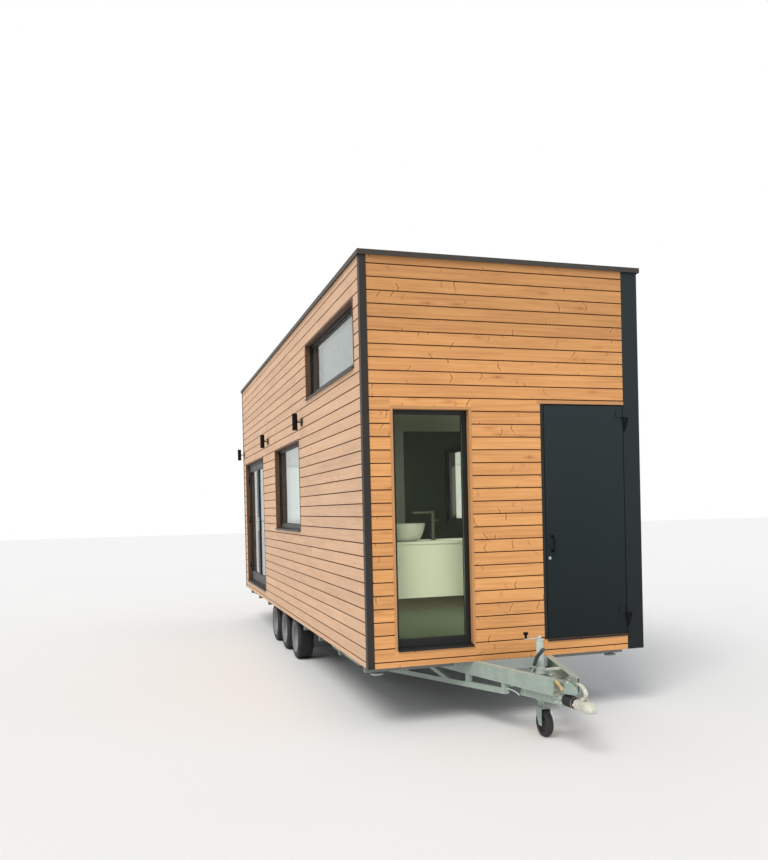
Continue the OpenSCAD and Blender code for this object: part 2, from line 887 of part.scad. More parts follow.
// Post from the chord up to the channel at station y
module truss_post(y) {
    intersection() {
        translate([0, 0, z_house - chord_drop(y) - truss_s / 2])
            linear_extrude(chord_drop(y) + truss_s / 2 - beam_h)
                beam_strip(bar_in, bar_in + bar_s, truss_front_y, truss_end);
        block(0, centre_x, y, y + bar_s, 0, z_house);
    }
}

// Brace that leans from the chord at y0 up to the channel at y1
module truss_brace(y0, y1) {
    foot = [y0, -chord_drop(y0) - truss_s / 2];
    head = [y1, -beam_h];
    along = (head - foot) / norm(head - foot);
    across = [-along[1], along[0]] * bar_s / 2;
    reach = along * 3 * bar_s;
    side = sign(y1 - y0);
    near = y0 - side * brace_run / 2;
    far = y1 + side * brace_run / 2;
    intersection() {
        translate([0, 0, z_house - 500]) linear_extrude(500)
            beam_strip(bar_in, bar_in + bar_s, truss_front_y, truss_end);
        translate([0, 0, z_house]) rotate([90, 0, 90]) linear_extrude(body_w) intersection() {
            polygon([foot - reach - across, head + reach - across,
                head + reach + across, foot - reach + across]);
            polygon([[near, -chord_drop(near) - truss_s / 2], [far, -chord_drop(far) - truss_s / 2],
                [far, -beam_h], [near, -beam_h]]);
        }
    }
}

module truss_side() {
    chord(truss_front_y, bend_y);
    chord(bend_y, truss_end);
    for (y = [truss_front_y, truss_post_y, truss_mid_y, bend_y + bar_s, truss_rear_y])
        truss_post(y);
    truss_brace(truss_post_y + brace_in, truss_post_y + brace_in + brace_run);
    truss_brace(bend_y - brace_in, bend_y - brace_in - brace_run);
    truss_brace(bend_y + brace_in, bend_y + brace_in + brace_run / 2);
    truss_brace(truss_end - truss_s, truss_end - brace_in);
}

module truss_frames() { in_frame() color("lightslategray") both_sides() truss_side(); }

// Axles and wheels

hub_r = 46;
arm_t = 26;
arm_l = 150;
axle_tube_z = z_house - beam_h - axle_s / 2;
disc_gap = 12;
arm_x = wheel_in + tyre_w + disc_gap;

drum_r = 112;
arm_r0 = 42;
arm_r1 = 34;

// Trailing arm: a bar with two round ends that holds the stub axle behind the tube
module axle_arm(y) {
    dy = arm_l;
    dz = axle_z - axle_tube_z;
    lean = atan2(dz, dy);
    taper = asin((arm_r0 - arm_r1) / norm([dy, dz]));
    up = lean + 90 - taper;
    down = lean - 90 + taper;
    translate([arm_x, y - arm_l, axle_tube_z]) rotate([90, 0, 90]) linear_extrude(arm_t) {
        circle(r = arm_r0);
        translate([dy, dz]) circle(r = arm_r1);
        polygon([arm_r0 * [cos(up), sin(up)], arm_r0 * [cos(down), sin(down)],
            [dy, dz] + arm_r1 * [cos(down), sin(down)], [dy, dz] + arm_r1 * [cos(up), sin(up)]]);
    }
}

module axles() {
    in_frame() color("slategray") for (i = [0 : 2]) {
        y = axle_y + i * axle_step;
        block(arm_x + arm_t - 1, body_w - arm_x - arm_t + 1, y - arm_l - axle_s / 2,
            y - arm_l + axle_s / 2, axle_tube_z - axle_s / 2, axle_tube_z + axle_s / 2);
        both_sides() {
            axle_arm(y);
            translate([wheel_x - 20, y, axle_z]) rotate([0, 90, 0])
                cylinder(r = stub_r, h = arm_x - wheel_x + 21);
            translate([wheel_x + 26, y, axle_z]) rotate([0, 90, 0])
                cylinder(r = drum_r, h = arm_x - wheel_x - 26);
        }
    }
}

// A wheel about the X axis, with its outer face towards -X: tyre and steel rim with hub
module wheel() {
    rotate([0, 90, 0]) {
        rotate_extrude() polygon(tyre_profile());
        rim();
    }
}

function tyre_profile() = let (r = tyre_d / 2, w = tyre_w / 2, b = rim_d / 2 - 14 + seat_gap)
    [[b, -w + 28], [b + 12, -w + 14], [b + 30, -w + 4], [r - 42, -w], [r - 20, -w + 5],
     [r - 7, -w + 14], [r, -w + 30], [r, w - 30], [r - 7, w - 14], [r - 20, w - 5],
     [r - 42, w], [b + 30, w - 4], [b + 12, w - 14], [b, w - 28]];

module rim() {
    w = tyre_w / 2;
    bed = rim_d / 2 - 14;
    difference() {
        union() {
            rotate_extrude() polygon([[bed - 5, -w + 12], [bed, -w + 12], [bed, w - 12],
                [bed - 5, w - 12]]);
            rotate_extrude() polygon([[bed - 5, -w + 11], [rim_d / 2, -w + 3],
                [rim_d / 2, -w + 8], [bed - 1, -w + 18]]);
            rotate_extrude() polygon([[0, -45], [70, -45], [96, -22], [bed - 2, -30],
                [bed - 2, -24], [94, -14], [66, -37], [0, -37]]);
            translate([0, 0, -62]) cylinder(r = hub_r, h = 80);
        }
        for (a = [0 : 45 : 315])
            rotate([0, 0, a]) translate([126, 0, -60]) cylinder(r = 15, h = 60);
        translate([0, 0, -20 - seat_gap]) cylinder(r = stub_r + mesh_gap, h = 60);
    }
}

module left_wheel(i) {
    in_frame() color("dimgray") translate([wheel_x, axle_y + i * axle_step, axle_z]) wheel();
}

module right_wheel(i) {
    in_frame() color("dimgray") translate([body_w - wheel_x, axle_y + i * axle_step, axle_z])
        mirror([1, 0, 0]) wheel();
}

module wheel_left_front() { left_wheel(0); }

module wheel_left_middle() { left_wheel(1); }

module wheel_left_rear() { left_wheel(2); }

module wheel_right_front() { right_wheel(0); }

module wheel_right_middle() { right_wheel(1); }

module wheel_right_rear() { right_wheel(2); }

// Overrun coupling

plate_t = 6;
housing_front = -drawbar_l;
housing_rear = -665;
sleeve_r = draw_r + 12;
housing_z = z_house - beam_h;
lever_x = centre_x - 60;
lever_y = -380;
lever_z = z_house - 134;
shaft_r = 8;
spring_x = centre_x - 22;
spring_lug_x = spring_x - 13;
spring_low = [-890, z_house - 98];
spring_high = [-712, z_house + 30];

function channel_x(d, y) = beam_x + d / cos(drawbar_angle) + (bend_y - y) * tan(drawbar_angle);

// Slanted side plates, cross plates and the sleeve that guides the coupling's tube
module overrun_housing() {
    in_frame() color("lightslategray") {
        difference() {
            union() {
                both_sides() translate([0, 0, housing_z - 72]) linear_extrude(72)
                    channel_strip(beam_w - plate_t, beam_w, -drawbar_l, -500);
                for (y = [housing_front, housing_rear])
                    block(channel_x(beam_w - 1, y), body_w - channel_x(beam_w - 1, y),
                        y, y + 10, coupling_axis - 50, housing_z);
                translate([centre_x, housing_rear, coupling_axis])
                    rotate([90, 0, 0]) cylinder(r = sleeve_r, h = housing_rear - housing_front);
                spring_lugs();
            }
            translate([centre_x, housing_rear + 20, coupling_axis])
                rotate([90, 0, 0]) cylinder(r = draw_r + mesh_gap, h = 400);
        }
        brake_shaft();
    }
}

// Lugs on the sleeve that hold the two ends of the spring cylinder
module spring_lugs() {
    for (p = [spring_low, spring_high])
        hull_lug(p[0], p[1]);
}

module hull_lug(y, z) {
    foot_z = coupling_axis + 20;
    block(spring_lug_x, spring_lug_x + plate_t, y - 10, y + 10, foot_z, z);
    translate([spring_lug_x, y, z]) rotate([0, 90, 0]) cylinder(r = 10, h = plate_t);
}

// Cross shaft under the channels, on which the handbrake lever turns
module brake_shaft() {
    x0 = channel_x(beam_w, lever_y) - 3;
    translate([x0, lever_y, lever_z]) rotate([0, 90, 0])
        cylinder(r = shaft_r, h = body_w - 2 * x0);
    both_sides() block(x0, x0 + 10, lever_y - 18, lever_y + 18, lever_z - 18, housing_z);
}

// Plan of a straight strip along a drawbar channel only
module channel_strip(d0, d1, y0, y1) {
    polygon([[channel_x(d0, y0), y0], [channel_x(d1, y0), y0], [channel_x(d1, y1), y1],
        [channel_x(d0, y1), y1]]);
}

head_rear = -1000;
socket_y = -coupling_reach + 47;
socket_z = coupling_axis - 8;

module coupling_bellows() {
    fold_n = 5;
    from_y = housing_front;
    step = (from_y - head_rear) / fold_n;
    in_frame() color("black") translate([centre_x, from_y, coupling_axis])
        rotate([90, 0, 0]) difference() {
            union() for (i = [0 : fold_n - 1]) translate([0, 0, i * step]) {
                cylinder(r1 = 38, r2 = 46, h = step / 2);
                translate([0, 0, step / 2]) cylinder(r1 = 46, r2 = 38, h = step / 2);
            }
            translate([0, 0, -1]) cylinder(r = draw_r + 1, h = 200);
        }
}

// Cast ball coupling: sleeve on the draw tube, and a body that swells to a cup over the ball
cup_r = 47;
cup_low = coupling_axis - 38;

module coupling_head() {
    in_frame() color("ivory") difference() {
        union() {
            translate([centre_x, housing_rear - 40, coupling_axis])
                rotate([90, 0, 0]) cylinder(r = draw_r, h = -head_rear + housing_rear + 10);
            translate([centre_x, head_rear, coupling_axis])
                rotate([90, 0, 0]) cylinder(r1 = 40, r2 = 36, h = 130);
            intersection() {
                translate([0, 0, coupling_axis - 60]) linear_extrude(120) head_plan();
                translate([0, 0, coupling_axis]) rotate([90, 0, 90]) linear_extrude(body_w)
                    head_side();
            }
            translate([centre_x, socket_y, cup_low]) rotate_extrude()
                polygon([[0, 0], [40, 0], [44, 6], [44, 32], [36, 50], [20, 62], [0, 66]]);
            handle_lugs();
        }
        translate([centre_x, socket_y, socket_z]) sphere(r = ball_r);
        translate([centre_x, socket_y, socket_z - 60]) cylinder(r = ball_r, h = 60);
    }
}

// Plan of the coupling's body, round over the ball
module head_plan() {
    translate([centre_x, socket_y]) circle(r = cup_r);
    polygon([[centre_x - 31, head_rear - 50], [centre_x + 31, head_rear - 50],
        [centre_x + cup_r, socket_y + 12], [centre_x + cup_r, socket_y],
        [centre_x - cup_r, socket_y], [centre_x - cup_r, socket_y + 12]]);
}

// Side of the coupling's body, falling towards the nose
module head_side() {
    nose_y = socket_y - cup_r;
    polygon([[head_rear - 50, 28], [head_rear - 120, 40], [socket_y + 50, 39], [socket_y, 29],
        [nose_y + 12, 4], [nose_y - 1, -16], [nose_y - 1, -32], [nose_y + 8, -38],
        [socket_y + 50, -38], [head_rear - 50, -28]]);
}

handle_pivot_y = head_rear - 150;
handle_pivot_z = coupling_axis + 56;
handle_w = 34;
handle_pin_r = 5;

// Two ears and a pin that hold the release handle
module handle_lugs() {
    for (x = [-handle_w / 2 - seat_gap - plate_t, handle_w / 2 + seat_gap])
        translate([centre_x + x, handle_pivot_y, handle_pivot_z]) rotate([90, 0, 90])
            linear_extrude(plate_t) {
                circle(r = 12);
                polygon([[-12, 0], [12, 0], [22, -24], [-22, -24]]);
            }
    translate([centre_x - handle_w / 2 - plate_t, handle_pivot_y, handle_pivot_z])
        rotate([0, 90, 0]) cylinder(r = handle_pin_r, h = handle_w + 2 * plate_t);
}

// Curved release handle that rises back over the coupling, turning on a bored barrel
module coupling_handle() {
    arc_r = 88;
    strap_w = handle_w - 6;
    barrel_r = 11;
    in_frame() color("silver") translate([centre_x, handle_pivot_y, handle_pivot_z]) {
        translate([-handle_w / 2, 0, 0]) rotate([0, 90, 0]) rotate_extrude()
            translate([handle_pin_r + mesh_gap, 0])
                square([barrel_r - handle_pin_r - mesh_gap, handle_w]);
        translate([-strap_w / 2, arc_r, 0]) rotate([90, 0, 90])
            rotate([0, 0, 93]) rotate_extrude(angle = 81)
                translate([arc_r - 5, 0]) square([10, strap_w]);
    }
}

// Handbrake lever beside the draw tube, pulled up
lever_flat = 10;

module handbrake_lever() {
    grip_l = 135;
    in_frame() color("slategray") translate([lever_x, lever_y, lever_z]) {
        difference() {
            union() {
                translate([-lever_flat, 0, 0]) rotate([0, 90, 0])
                    cylinder(r = 20, h = 2 * lever_flat);
                rotate([-lever_angle, 0, 0])
                    block(-lever_flat / 2, lever_flat / 2, -lever_l + grip_l - 10, 0, -12, 12);
            }
            translate([-lever_w_clear, 0, 0]) rotate([0, 90, 0])
                cylinder(r = shaft_r + mesh_gap, h = 2 * lever_w_clear);
        }
        rotate([-lever_angle, 0, 0]) translate([0, -lever_l + grip_l, 0])
            rotate([90, 0, 0]) cylinder(r = 13, h = grip_l);
    }
}

lever_w_clear = 20;

// Spring cylinder of the handbrake between its two lugs
module brake_spring() {
    run = spring_high - spring_low;
    full = norm(run);
    eye_r = 9;
    eye_w = 14;
    in_frame() color("goldenrod") translate([spring_x, spring_low[0], spring_low[1]])
        rotate([atan2(run[1], run[0]) - 90, 0, 0]) {
            for (z = [0, full])
                translate([-eye_w / 2, 0, z]) rotate([0, 90, 0]) cylinder(r = eye_r, h = eye_w);
            cylinder(r = 5, h = full);
            translate([0, 0, eye_r + 5]) cylinder(r = 15, h = full * 0.55);
            translate([0, 0, full * 0.55 + eye_r]) cylinder(r = 8, h = full * 0.2);
        }
}

// Jockey wheel

jockey_top = z_house + 235;
jockey_bottom = z_house - 164;
jockey_wheel_w = 60;
fork_top = jockey_d + 14;
fork_collar = 6;
stud_h = 30;
crank_z = jockey_top + 15;

module jockey_tube() {
    in_frame() color("silver") difference() {
        union() {
            translate([centre_x, jockey_y, jockey_bottom])
                cylinder(r = jockey_r, h = jockey_top - jockey_bottom);
            translate([centre_x, jockey_y, z_house - 40]) cylinder(r = jockey_r + 8, h = 52);
            for (z = [z_house - beam_t - plate_t, z_house - beam_h + beam_t])
                translate([0, 0, z]) linear_extrude(plate_t) bracket_plan();
        }
        translate([centre_x, jockey_y, jockey_bottom - 1])
            cylinder(r = jockey_leg_r + mesh_gap, h = jockey_top - jockey_bottom - 8);
        translate([centre_x, jockey_y, jockey_top - 20]) cylinder(r = 8 + mesh_gap, h = 40);
    }
}

// Plan of a plate from the tube into the right channel
module bracket_plan() {
    half = 46;
    web = beam_t + 2;
    circle_r = jockey_r + 4;
    translate([centre_x, jockey_y]) circle(r = circle_r);
    polygon([[centre_x, jockey_y - circle_r],
        [body_w - channel_x(web, jockey_y - half), jockey_y - half],
        [body_w - channel_x(web, jockey_y + half), jockey_y + half],
        [centre_x, jockey_y + circle_r]]);
}

// Crank on top of the tube, with its knob towards the left
module jockey_crank() {
    arm = 120;
    in_frame() color("silver") translate([centre_x, jockey_y, jockey_top - 16]) {
        cylinder(r = 8, h = 41);
        translate([0, 0, 17]) cylinder(r = 14, h = 22);
        translate([-arm, -9, 19]) cube([arm, 18, 8]);
        translate([-arm, 0, 19]) cylinder(r = 11, h = 8);
        translate([-arm, 0, 26]) cylinder(r = 14, h = 52);
    }
}

module jockey_leg() {
    leg_z = fork_top + fork_collar;
    in_frame() color("lightslategray") translate([centre_x, jockey_y, leg_z]) difference() {
        cylinder(r = jockey_leg_r, h = jockey_top - 130 - leg_z);
        translate([0, 0, -1]) cylinder(r = 10 + mesh_gap, h = stud_h);
    }
}

module jockey_fork() {
    wheel_y = jockey_y - jockey_trail;
    in_frame() color("lightslategray") translate([centre_x, 0, 0]) {
        translate([0, jockey_y, fork_top]) cylinder(r = 10, h = stud_h);
        translate([0, jockey_y, fork_top]) cylinder(r = 24, h = fork_collar - seat_gap);
        block(-jockey_wheel_w / 2 - 11, jockey_wheel_w / 2 + 11, wheel_y - 25, jockey_y + 30,
            fork_top - 6, fork_top + 1);
        for (s = [-1, 1]) scale([s, 1, 1]) rotate([90, 0, 90])
            translate([0, 0, jockey_wheel_w / 2 + 6]) linear_extrude(5)
                polygon([[wheel_y - 25, fork_top], [wheel_y - 22, jockey_d / 2 - 18],
                    [wheel_y + 22, jockey_d / 2 - 18], [jockey_y + 30, fork_top]]);
        translate([-jockey_wheel_w / 2 - 7, wheel_y, jockey_d / 2])
            rotate([0, 90, 0]) cylinder(r = 8, h = jockey_wheel_w + 14);
    }
}

module jockey_wheel() {
    r = jockey_d / 2;
    w = jockey_wheel_w / 2;
    in_frame() color("black") translate([centre_x, jockey_y - jockey_trail, r])
        rotate([0, 90, 0]) rotate_extrude()
            polygon([[8 + mesh_gap, -w], [24, -w], [30, -12], [66, -12], [70, -w + 4],
                [r - 8, -w + 4], [r, -w + 14], [r, w - 14], [r - 8, w - 4], [70, w - 4],
                [66, 12], [30, 12], [24, w], [8 + mesh_gap, w]]);
}

// Corner jacks

jack_foot_t = 16;
spindle_l = 210;

module jack() {
    translate([0, 0, z_house - cross_h - 8 - jack_foot_t]) {
        difference() {
            cylinder(r = foot_r, h = jack_foot_t);
            translate([0, 0, -1]) cylinder(r = foot_r - 16, h = 7);
        }
        cylinder(r = spindle_r, h = spindle_l);
    }
}

module jack_front_left() { in_frame() color("silver") translate([jack_x, jack_y, 0]) jack(); }

module jack_front_right() {
    in_frame() color("silver") translate([body_w - jack_x, jack_y, 0]) jack();
}

module jack_rear_left() {
    in_frame() color("silver") translate([jack_x, body_l - jack_y, 0]) jack();
}

module jack_rear_right() {
    in_frame() color("silver") translate([body_w - jack_x, body_l - jack_y, 0]) jack();
}

floors();
front_wall();
left_wall();
left_wall_pier();
right_wall();
rear_wall();
door_headers();
roof_deck();
roof_coping();
timber_cladding();
metal_cladding();
corner_trims();
window_linings();
sill_flashings();
window_frames();
window_glass();
door_frames();
entrance_leaf_near();
entrance_glass_near();
entrance_leaf_far();
entrance_glass_far();
entrance_handle();
utility_door();
utility_door_handle();
door_hinges();
wall_lamps();
vanity();
basin();
basin_tap();
trailer_beams();
cross_members();
truss_frames();
axles();
overrun_housing();
coupling_bellows();
coupling_head();
coupling_handle();
handbrake_lever();
brake_spring();
jockey_tube();
jockey_crank();
jockey_leg();
jockey_fork();
jockey_wheel();
wheel_left_front();
wheel_left_middle();
wheel_left_rear();
wheel_right_front();
wheel_right_middle();
wheel_right_rear();
jack_front_left();
jack_front_right();
jack_rear_left();
jack_rear_right();
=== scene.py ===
import math
import random

import bmesh
import bpy
from mathutils import Matrix, Vector


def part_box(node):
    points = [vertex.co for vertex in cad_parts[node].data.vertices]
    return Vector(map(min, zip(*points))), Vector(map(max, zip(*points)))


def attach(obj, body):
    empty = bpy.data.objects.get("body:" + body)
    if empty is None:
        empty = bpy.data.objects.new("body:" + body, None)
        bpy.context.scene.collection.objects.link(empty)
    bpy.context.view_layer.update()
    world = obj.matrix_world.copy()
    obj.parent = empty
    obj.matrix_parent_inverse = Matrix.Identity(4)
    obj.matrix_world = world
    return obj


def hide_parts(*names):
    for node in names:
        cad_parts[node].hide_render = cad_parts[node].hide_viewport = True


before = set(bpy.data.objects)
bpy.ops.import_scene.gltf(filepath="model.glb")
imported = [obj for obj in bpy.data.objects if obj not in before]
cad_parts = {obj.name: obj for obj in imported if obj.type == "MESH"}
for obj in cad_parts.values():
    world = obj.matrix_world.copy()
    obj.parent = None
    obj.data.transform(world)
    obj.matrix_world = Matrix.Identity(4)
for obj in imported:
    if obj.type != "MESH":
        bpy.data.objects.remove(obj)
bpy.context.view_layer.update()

random.seed(7)
X, Y, Z = Vector((1, 0, 0)), Vector((0, 1, 0)), Vector((0, 0, 1))

# The house's own corner: left face, front face and the cladding's bottom edge
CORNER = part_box("timber_cladding")[0]
SEAM_PROUD = 0.014
BODY_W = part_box("metal_cladding")[1].x - CORNER.x - SEAM_PROUD
BODY_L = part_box("timber_cladding")[1].y - CORNER.y
BODY_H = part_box("roof_coping")[1].z - CORNER.z
COPING_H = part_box("roof_coping")[1].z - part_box("roof_coping")[0].z
BOARDS_TOP = BODY_H - COPING_H + 0.012
CORNER_W = 0.054
METAL_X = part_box("timber_cladding")[1].x - CORNER.x
METAL_RETURN = 0.16
CLAD_T = 0.022
FLOOR_T = 0.137
LOFT_Z = 2.17
BATH_L = 2.45
GREEN_L = 6.3
FRONT_LININGS_L = 0.15

# Openings as (start along the wall, bottom, end along the wall, top), in metres
FRONT_WINDOW = (0.23, 0.137, 0.938, 2.123)
UTILITY_DOOR = (1.575, 0.137, METAL_X, 2.187)
LOFT_WINDOW = (0.222, 2.468, 2.275, 3.06)
MIDDLE_WINDOW = (2.734, 1.061, 4.457, 2.101)
ENTRANCE = (5.528, 0.137, 7.548, 2.091)
REAR_WINDOW = (0.625, 1.061, 1.925, 2.101)

# Boards
FIRST_ROW = 0.052
ROW = 0.1074
GROOVE = 0.009
EDGE = 0.0014
TONGUE = 0.014
JOINT_GAP = 0.0008
NEAREST_JOINT = 0.25
THINNEST = 0.004
OVERLAP = 0.0005
UV_MARGIN = 0.03

# Panes
SHEET_T = 0.004
SHEET_INSET = 0.001
SHEET_EDGE = 0.0005
SPACER_W = 0.014
SPACER_GAP = 0.0002
GASKET_T, GASKET_W = 0.003, 0.007
GASKET_INSET = 0.009
GASKET_EDGE = 0.0012

# Turned outlines, in millimetres: TIP is the radius at which one closes on its axis
TIP = 0.1
WASHER_T = 1.5
SPINDLE_R = 12


def at(x, y, z):
    """A point of the house's own corner frame, in the row frame."""
    return CORNER + Vector((x, y, z))


# Materials


def shade(colour, share):
    return tuple(min(1, c * share) for c in colour)


def new_material(name, base=(0.5, 0.5, 0.5), rough=0.5, metal=0.0, **sockets):
    m = bpy.data.materials.new(name)
    m.use_nodes = True
    bsdf = m.node_tree.nodes["Principled BSDF"]
    bsdf.inputs["Base Color"].default_value = (*base, 1)
    bsdf.inputs["Roughness"].default_value = rough
    bsdf.inputs["Metallic"].default_value = metal
    for key, value in sockets.items():
        bsdf.inputs[key.replace("_", " ")].default_value = value
    return m


class Graph:
    """Short names for the nodes of one material or of the world."""

    def __init__(self, owner):
        self.tree = owner.node_tree
        self.bsdf = self.tree.nodes.get("Principled BSDF")

    def link(self, a, b):
        self.tree.links.new(a, b)

    def feed(self, socket, value):
        """Links a socket to an output, or sets it to a number, a vector or a colour."""
        if isinstance(value, bpy.types.NodeSocket):
            self.link(value, socket)
        elif isinstance(value, tuple) and len(socket.default_value) == 4:
            socket.default_value = (*value, 1)
        else:
            socket.default_value = value

    def node(self, kind, inputs=(), **settings):
        """Adds a node and returns its outputs."""
        n = self.tree.nodes.new("ShaderNode" + kind)
        for key, value in settings.items():
            setattr(n, key, value)
        for key, value in dict(inputs).items():
            self.feed(n.inputs[key], value)
        return n.outputs

    def coords(self, kind="Object"):
        return self.node("TexCoord")[kind]

    def split(self, vector):
        return self.node("SeparateXYZ", {0: vector})

    def mapped(self, vector, scale=(1, 1, 1), location=(0, 0, 0), rotation=(0, 0, 0)):
        return self.node("Mapping", {"Vector": vector, "Scale": scale, "Location": location,
                                     "Rotation": rotation})["Vector"]

    def noise(self, vector, scale, detail=4.0, rough=0.6, distortion=0.0):
        """Noise from 0 to 1; a scale of three numbers stretches it."""
        if isinstance(scale, tuple):
            vector, scale = self.mapped(vector, scale), 1.0
        return self.node("TexNoise", {"Vector": vector, "Scale": scale, "Detail": detail,
                                      "Roughness": rough, "Distortion": distortion})["Fac"]

    def voronoi(self, vector, scale=1.0, **settings):
        return self.node("TexVoronoi", {"Vector": vector, "Scale": scale}, **settings)

    def ramp(self, fac, *stops):
        """stops are (position, colour or grey)."""
        n = self.tree.nodes.new("ShaderNodeValToRGB")
        self.link(fac, n.inputs["Fac"])
        elements = n.color_ramp.elements
        while len(elements) < len(stops):
            elements.new(0.5)
        for e, (pos, colour) in zip(elements, stops):
            e.position = pos
            e.color = (*colour, 1) if isinstance(colour, tuple) else (colour, colour, colour, 1)
        return n.outputs["Color"]

    def mix(self, fac, a, b, blend="MIX"):
        return self.node("Mix", {0: fac, 6: a, 7: b}, data_type="RGBA", blend_type=blend)[2]

    def math(self, op, a, b=0.0):
        return self.node("Math", {0: a, 1: b}, operation=op)[0]

    def vector(self, op, a, b):
        return self.node("VectorMath", {0: a, 1: b}, operation=op)[0]

    def bump(self, height, strength, distance):
        bumped = self.node("Bump", {"Height": height, "Strength": strength, "Distance": distance})
        self.link(bumped["Normal"], self.bsdf.inputs["Normal"])

    def base(self, colour):
        self.link(colour, self.bsdf.inputs["Base Color"])

    def rough(self, value):
        self.link(value, self.bsdf.inputs["Roughness"])


def spikes(g, uv, cell, shift, share, thick, reach, spread):
    """Slanted streaks that meet in a point, as where a branch is cut along its length."""
    scaled = g.mapped(uv, (1 / cell[0], 1 / cell[1], 1), shift)
    v = g.voronoi(scaled, voronoi_dimensions="2D")
    local = g.split(g.vector("SUBTRACT", scaled, v["Position"]))
    chance = g.node("SeparateColor", {0: v["Color"]})
    dx = g.math("MULTIPLY", local["X"], cell[0])
    dy = g.math("MULTIPLY", local["Y"], cell[1])
    upper = g.math("GREATER_THAN", dy, 0.0)
    slope = g.mix(upper, chance[1], chance[0])
    lean = g.math("MULTIPLY", g.math("SUBTRACT", slope, 0.5), spread)
    away = g.math("ABSOLUTE", g.math("SUBTRACT", dx, g.math("MULTIPLY", lean, dy)))
    line = g.ramp(away, (0.0, 1.0), (thick, 1.0), (thick * 2.4, 0.0))
    ends = g.ramp(g.math("ABSOLUTE", dy), (reach * 0.5, 1.0), (reach, 0.0))
    here = g.math("GREATER_THAN", chance[2], 1.0 - share)
    return g.math("MULTIPLY", g.math("MULTIPLY", line, ends), here)


def wood(name, light, dark, knot, rough=0.6, knots=1.0, contrast=1.0, top_shade=None):
    """Planed softwood: streaks along U, tone by the board, round knots and slanted spike knots.

    The boards under the coping may darken towards the top, a painted shade that takes a darker share of their
    tone."""
    m = new_material(name, light, rough)
    g = Graph(m)
    uv = g.coords("UV")
    row = g.math("FLOOR", g.split(uv)["Y"])
    tone = g.node("TexWhiteNoise", {"W": row}, noise_dimensions="1D")["Value"]
    streak = g.noise(uv, (1.3, 42, 1), 5, 0.62, 0.7)
    fine = g.noise(uv, (7, 330, 1), 3)
    broad = g.noise(uv, (1.1, 5.0, 1), 3, 0.55)
    wave = g.math("ADD", g.math("MULTIPLY", streak, 0.7), g.math("MULTIPLY", fine, 0.3))
    colour = g.mix(g.ramp(wave, (0.36, 1.0), (0.6, 0.0)), light, dark)
    pale, deep = (shade(light, 1 + way * 0.26 * contrast) for way in (1, -1))
    colour = g.mix(0.34, colour, g.ramp(tone, (0.0, deep), (1.0, pale)))
    colour = g.mix(0.3, colour, g.ramp(broad, (0.34, deep), (0.66, pale)))
    if knots:
        warp = g.math("SUBTRACT", g.noise(uv, (9, 30, 1), 3), 0.5)
        bent = g.vector("ADD", uv, g.node("CombineXYZ", {"X": g.math("MULTIPLY", warp, 0.022)})[0])
        dot = g.voronoi(g.mapped(bent, (2.3, 8.6, 1)))["Distance"]
        halo = g.ramp(dot, (0.03, 0.55), (0.2, 0.0))
        eye = g.ramp(dot, (0.0, 1.0), (0.02, 0.9), (0.052, 0.0))
        large, small = ((0.31, 0.118), (3.1, 1.7, 0)), ((0.17, 0.094), (7.3, 2.9, 0))
        glow = spikes(g, bent, *large, 0.3 * knots, 0.011, 0.056, 2.2)
        long = spikes(g, bent, *large, 0.3 * knots, 0.0042, 0.05, 2.2)
        short = spikes(g, bent, *small, 0.17 * knots, 0.0034, 0.03, 3.2)
        for mask, share, tone in ((halo, knots, dark), (glow, 0.35, pale), (long, 0.66, knot),
                                  (short, 0.42, knot), (eye, knots, knot)):
            colour = g.mix(g.math("MULTIPLY", mask, share), colour, tone)
    # Boards near the top darken by height: painted shade under the coping.
    if top_shade:
        height = g.math("SUBTRACT", g.split(g.coords())["Z"], CORNER.z)
        coping_shade = g.ramp(g.math("DIVIDE", height, BODY_H), (0.66, 1.0), (0.86, top_shade))
        colour = g.mix(1.0, colour, coping_shade, "MULTIPLY")
    g.base(colour)
    g.bump(wave, 0.35, 0.0006)
    return m


def lining_wood(name, front, side):
    """Window linings: pale wood in the front face's openings; in the side ones a darker brown, a painted
    shade of the same wood.
    """
    m = wood(name, front, shade(front, 0.72), (0.2, 0.08, 0.03), knots=0)
    g = Graph(m)
    first = g.bsdf.inputs["Base Color"].links[0].from_socket
    p = g.coords()
    grain = g.noise(p, (30, 4, 30))
    # The side openings' linings turn darker brown: painted shade.
    shaded_brown = g.ramp(grain, (0.3, shade(side, 0.7)), (0.7, side))
    behind = g.math("GREATER_THAN", g.split(p)["Y"], CORNER.y + FRONT_LININGS_L)
    g.base(g.mix(behind, first, shaded_brown))
    return m


def sheet_metal(name, base, rough, spread, gloss, upward_ramp=None):
    """Coated sheet: a little cloudy, with fine dust that changes its gloss, and it may grow paler upwards."""
    m = new_material(name, base, rough, Specular_IOR_Level=gloss)
    g = Graph(m)
    p = g.coords()
    cloud = g.noise(p, 1.7)
    dust = g.noise(p, 38, 3)
    dark, pale = shade(base, 1 - spread), shade(base, 1 + 1.6 * spread)
    clouded = g.ramp(cloud, (0.3, dark), (0.7, pale))
    colour = g.mix(0.35, clouded, g.ramp(dust, (0.35, dark), (0.7, pale)))
    # Darker towards the bottom and paler towards the top, by height.
    if upward_ramp:
        height = g.math("DIVIDE", g.split(p)["Z"], 4.0)
        low, high = (shade(base, share) for share in upward_ramp)
        colour = g.mix(0.7, colour, g.ramp(height, (0.2, low), (0.75, high)))
    g.base(colour)
    g.rough(g.ramp(dust, (0.3, rough - 0.06), (0.75, rough + 0.1)))
    g.bump(dust, 0.1, 0.0004)
    return m


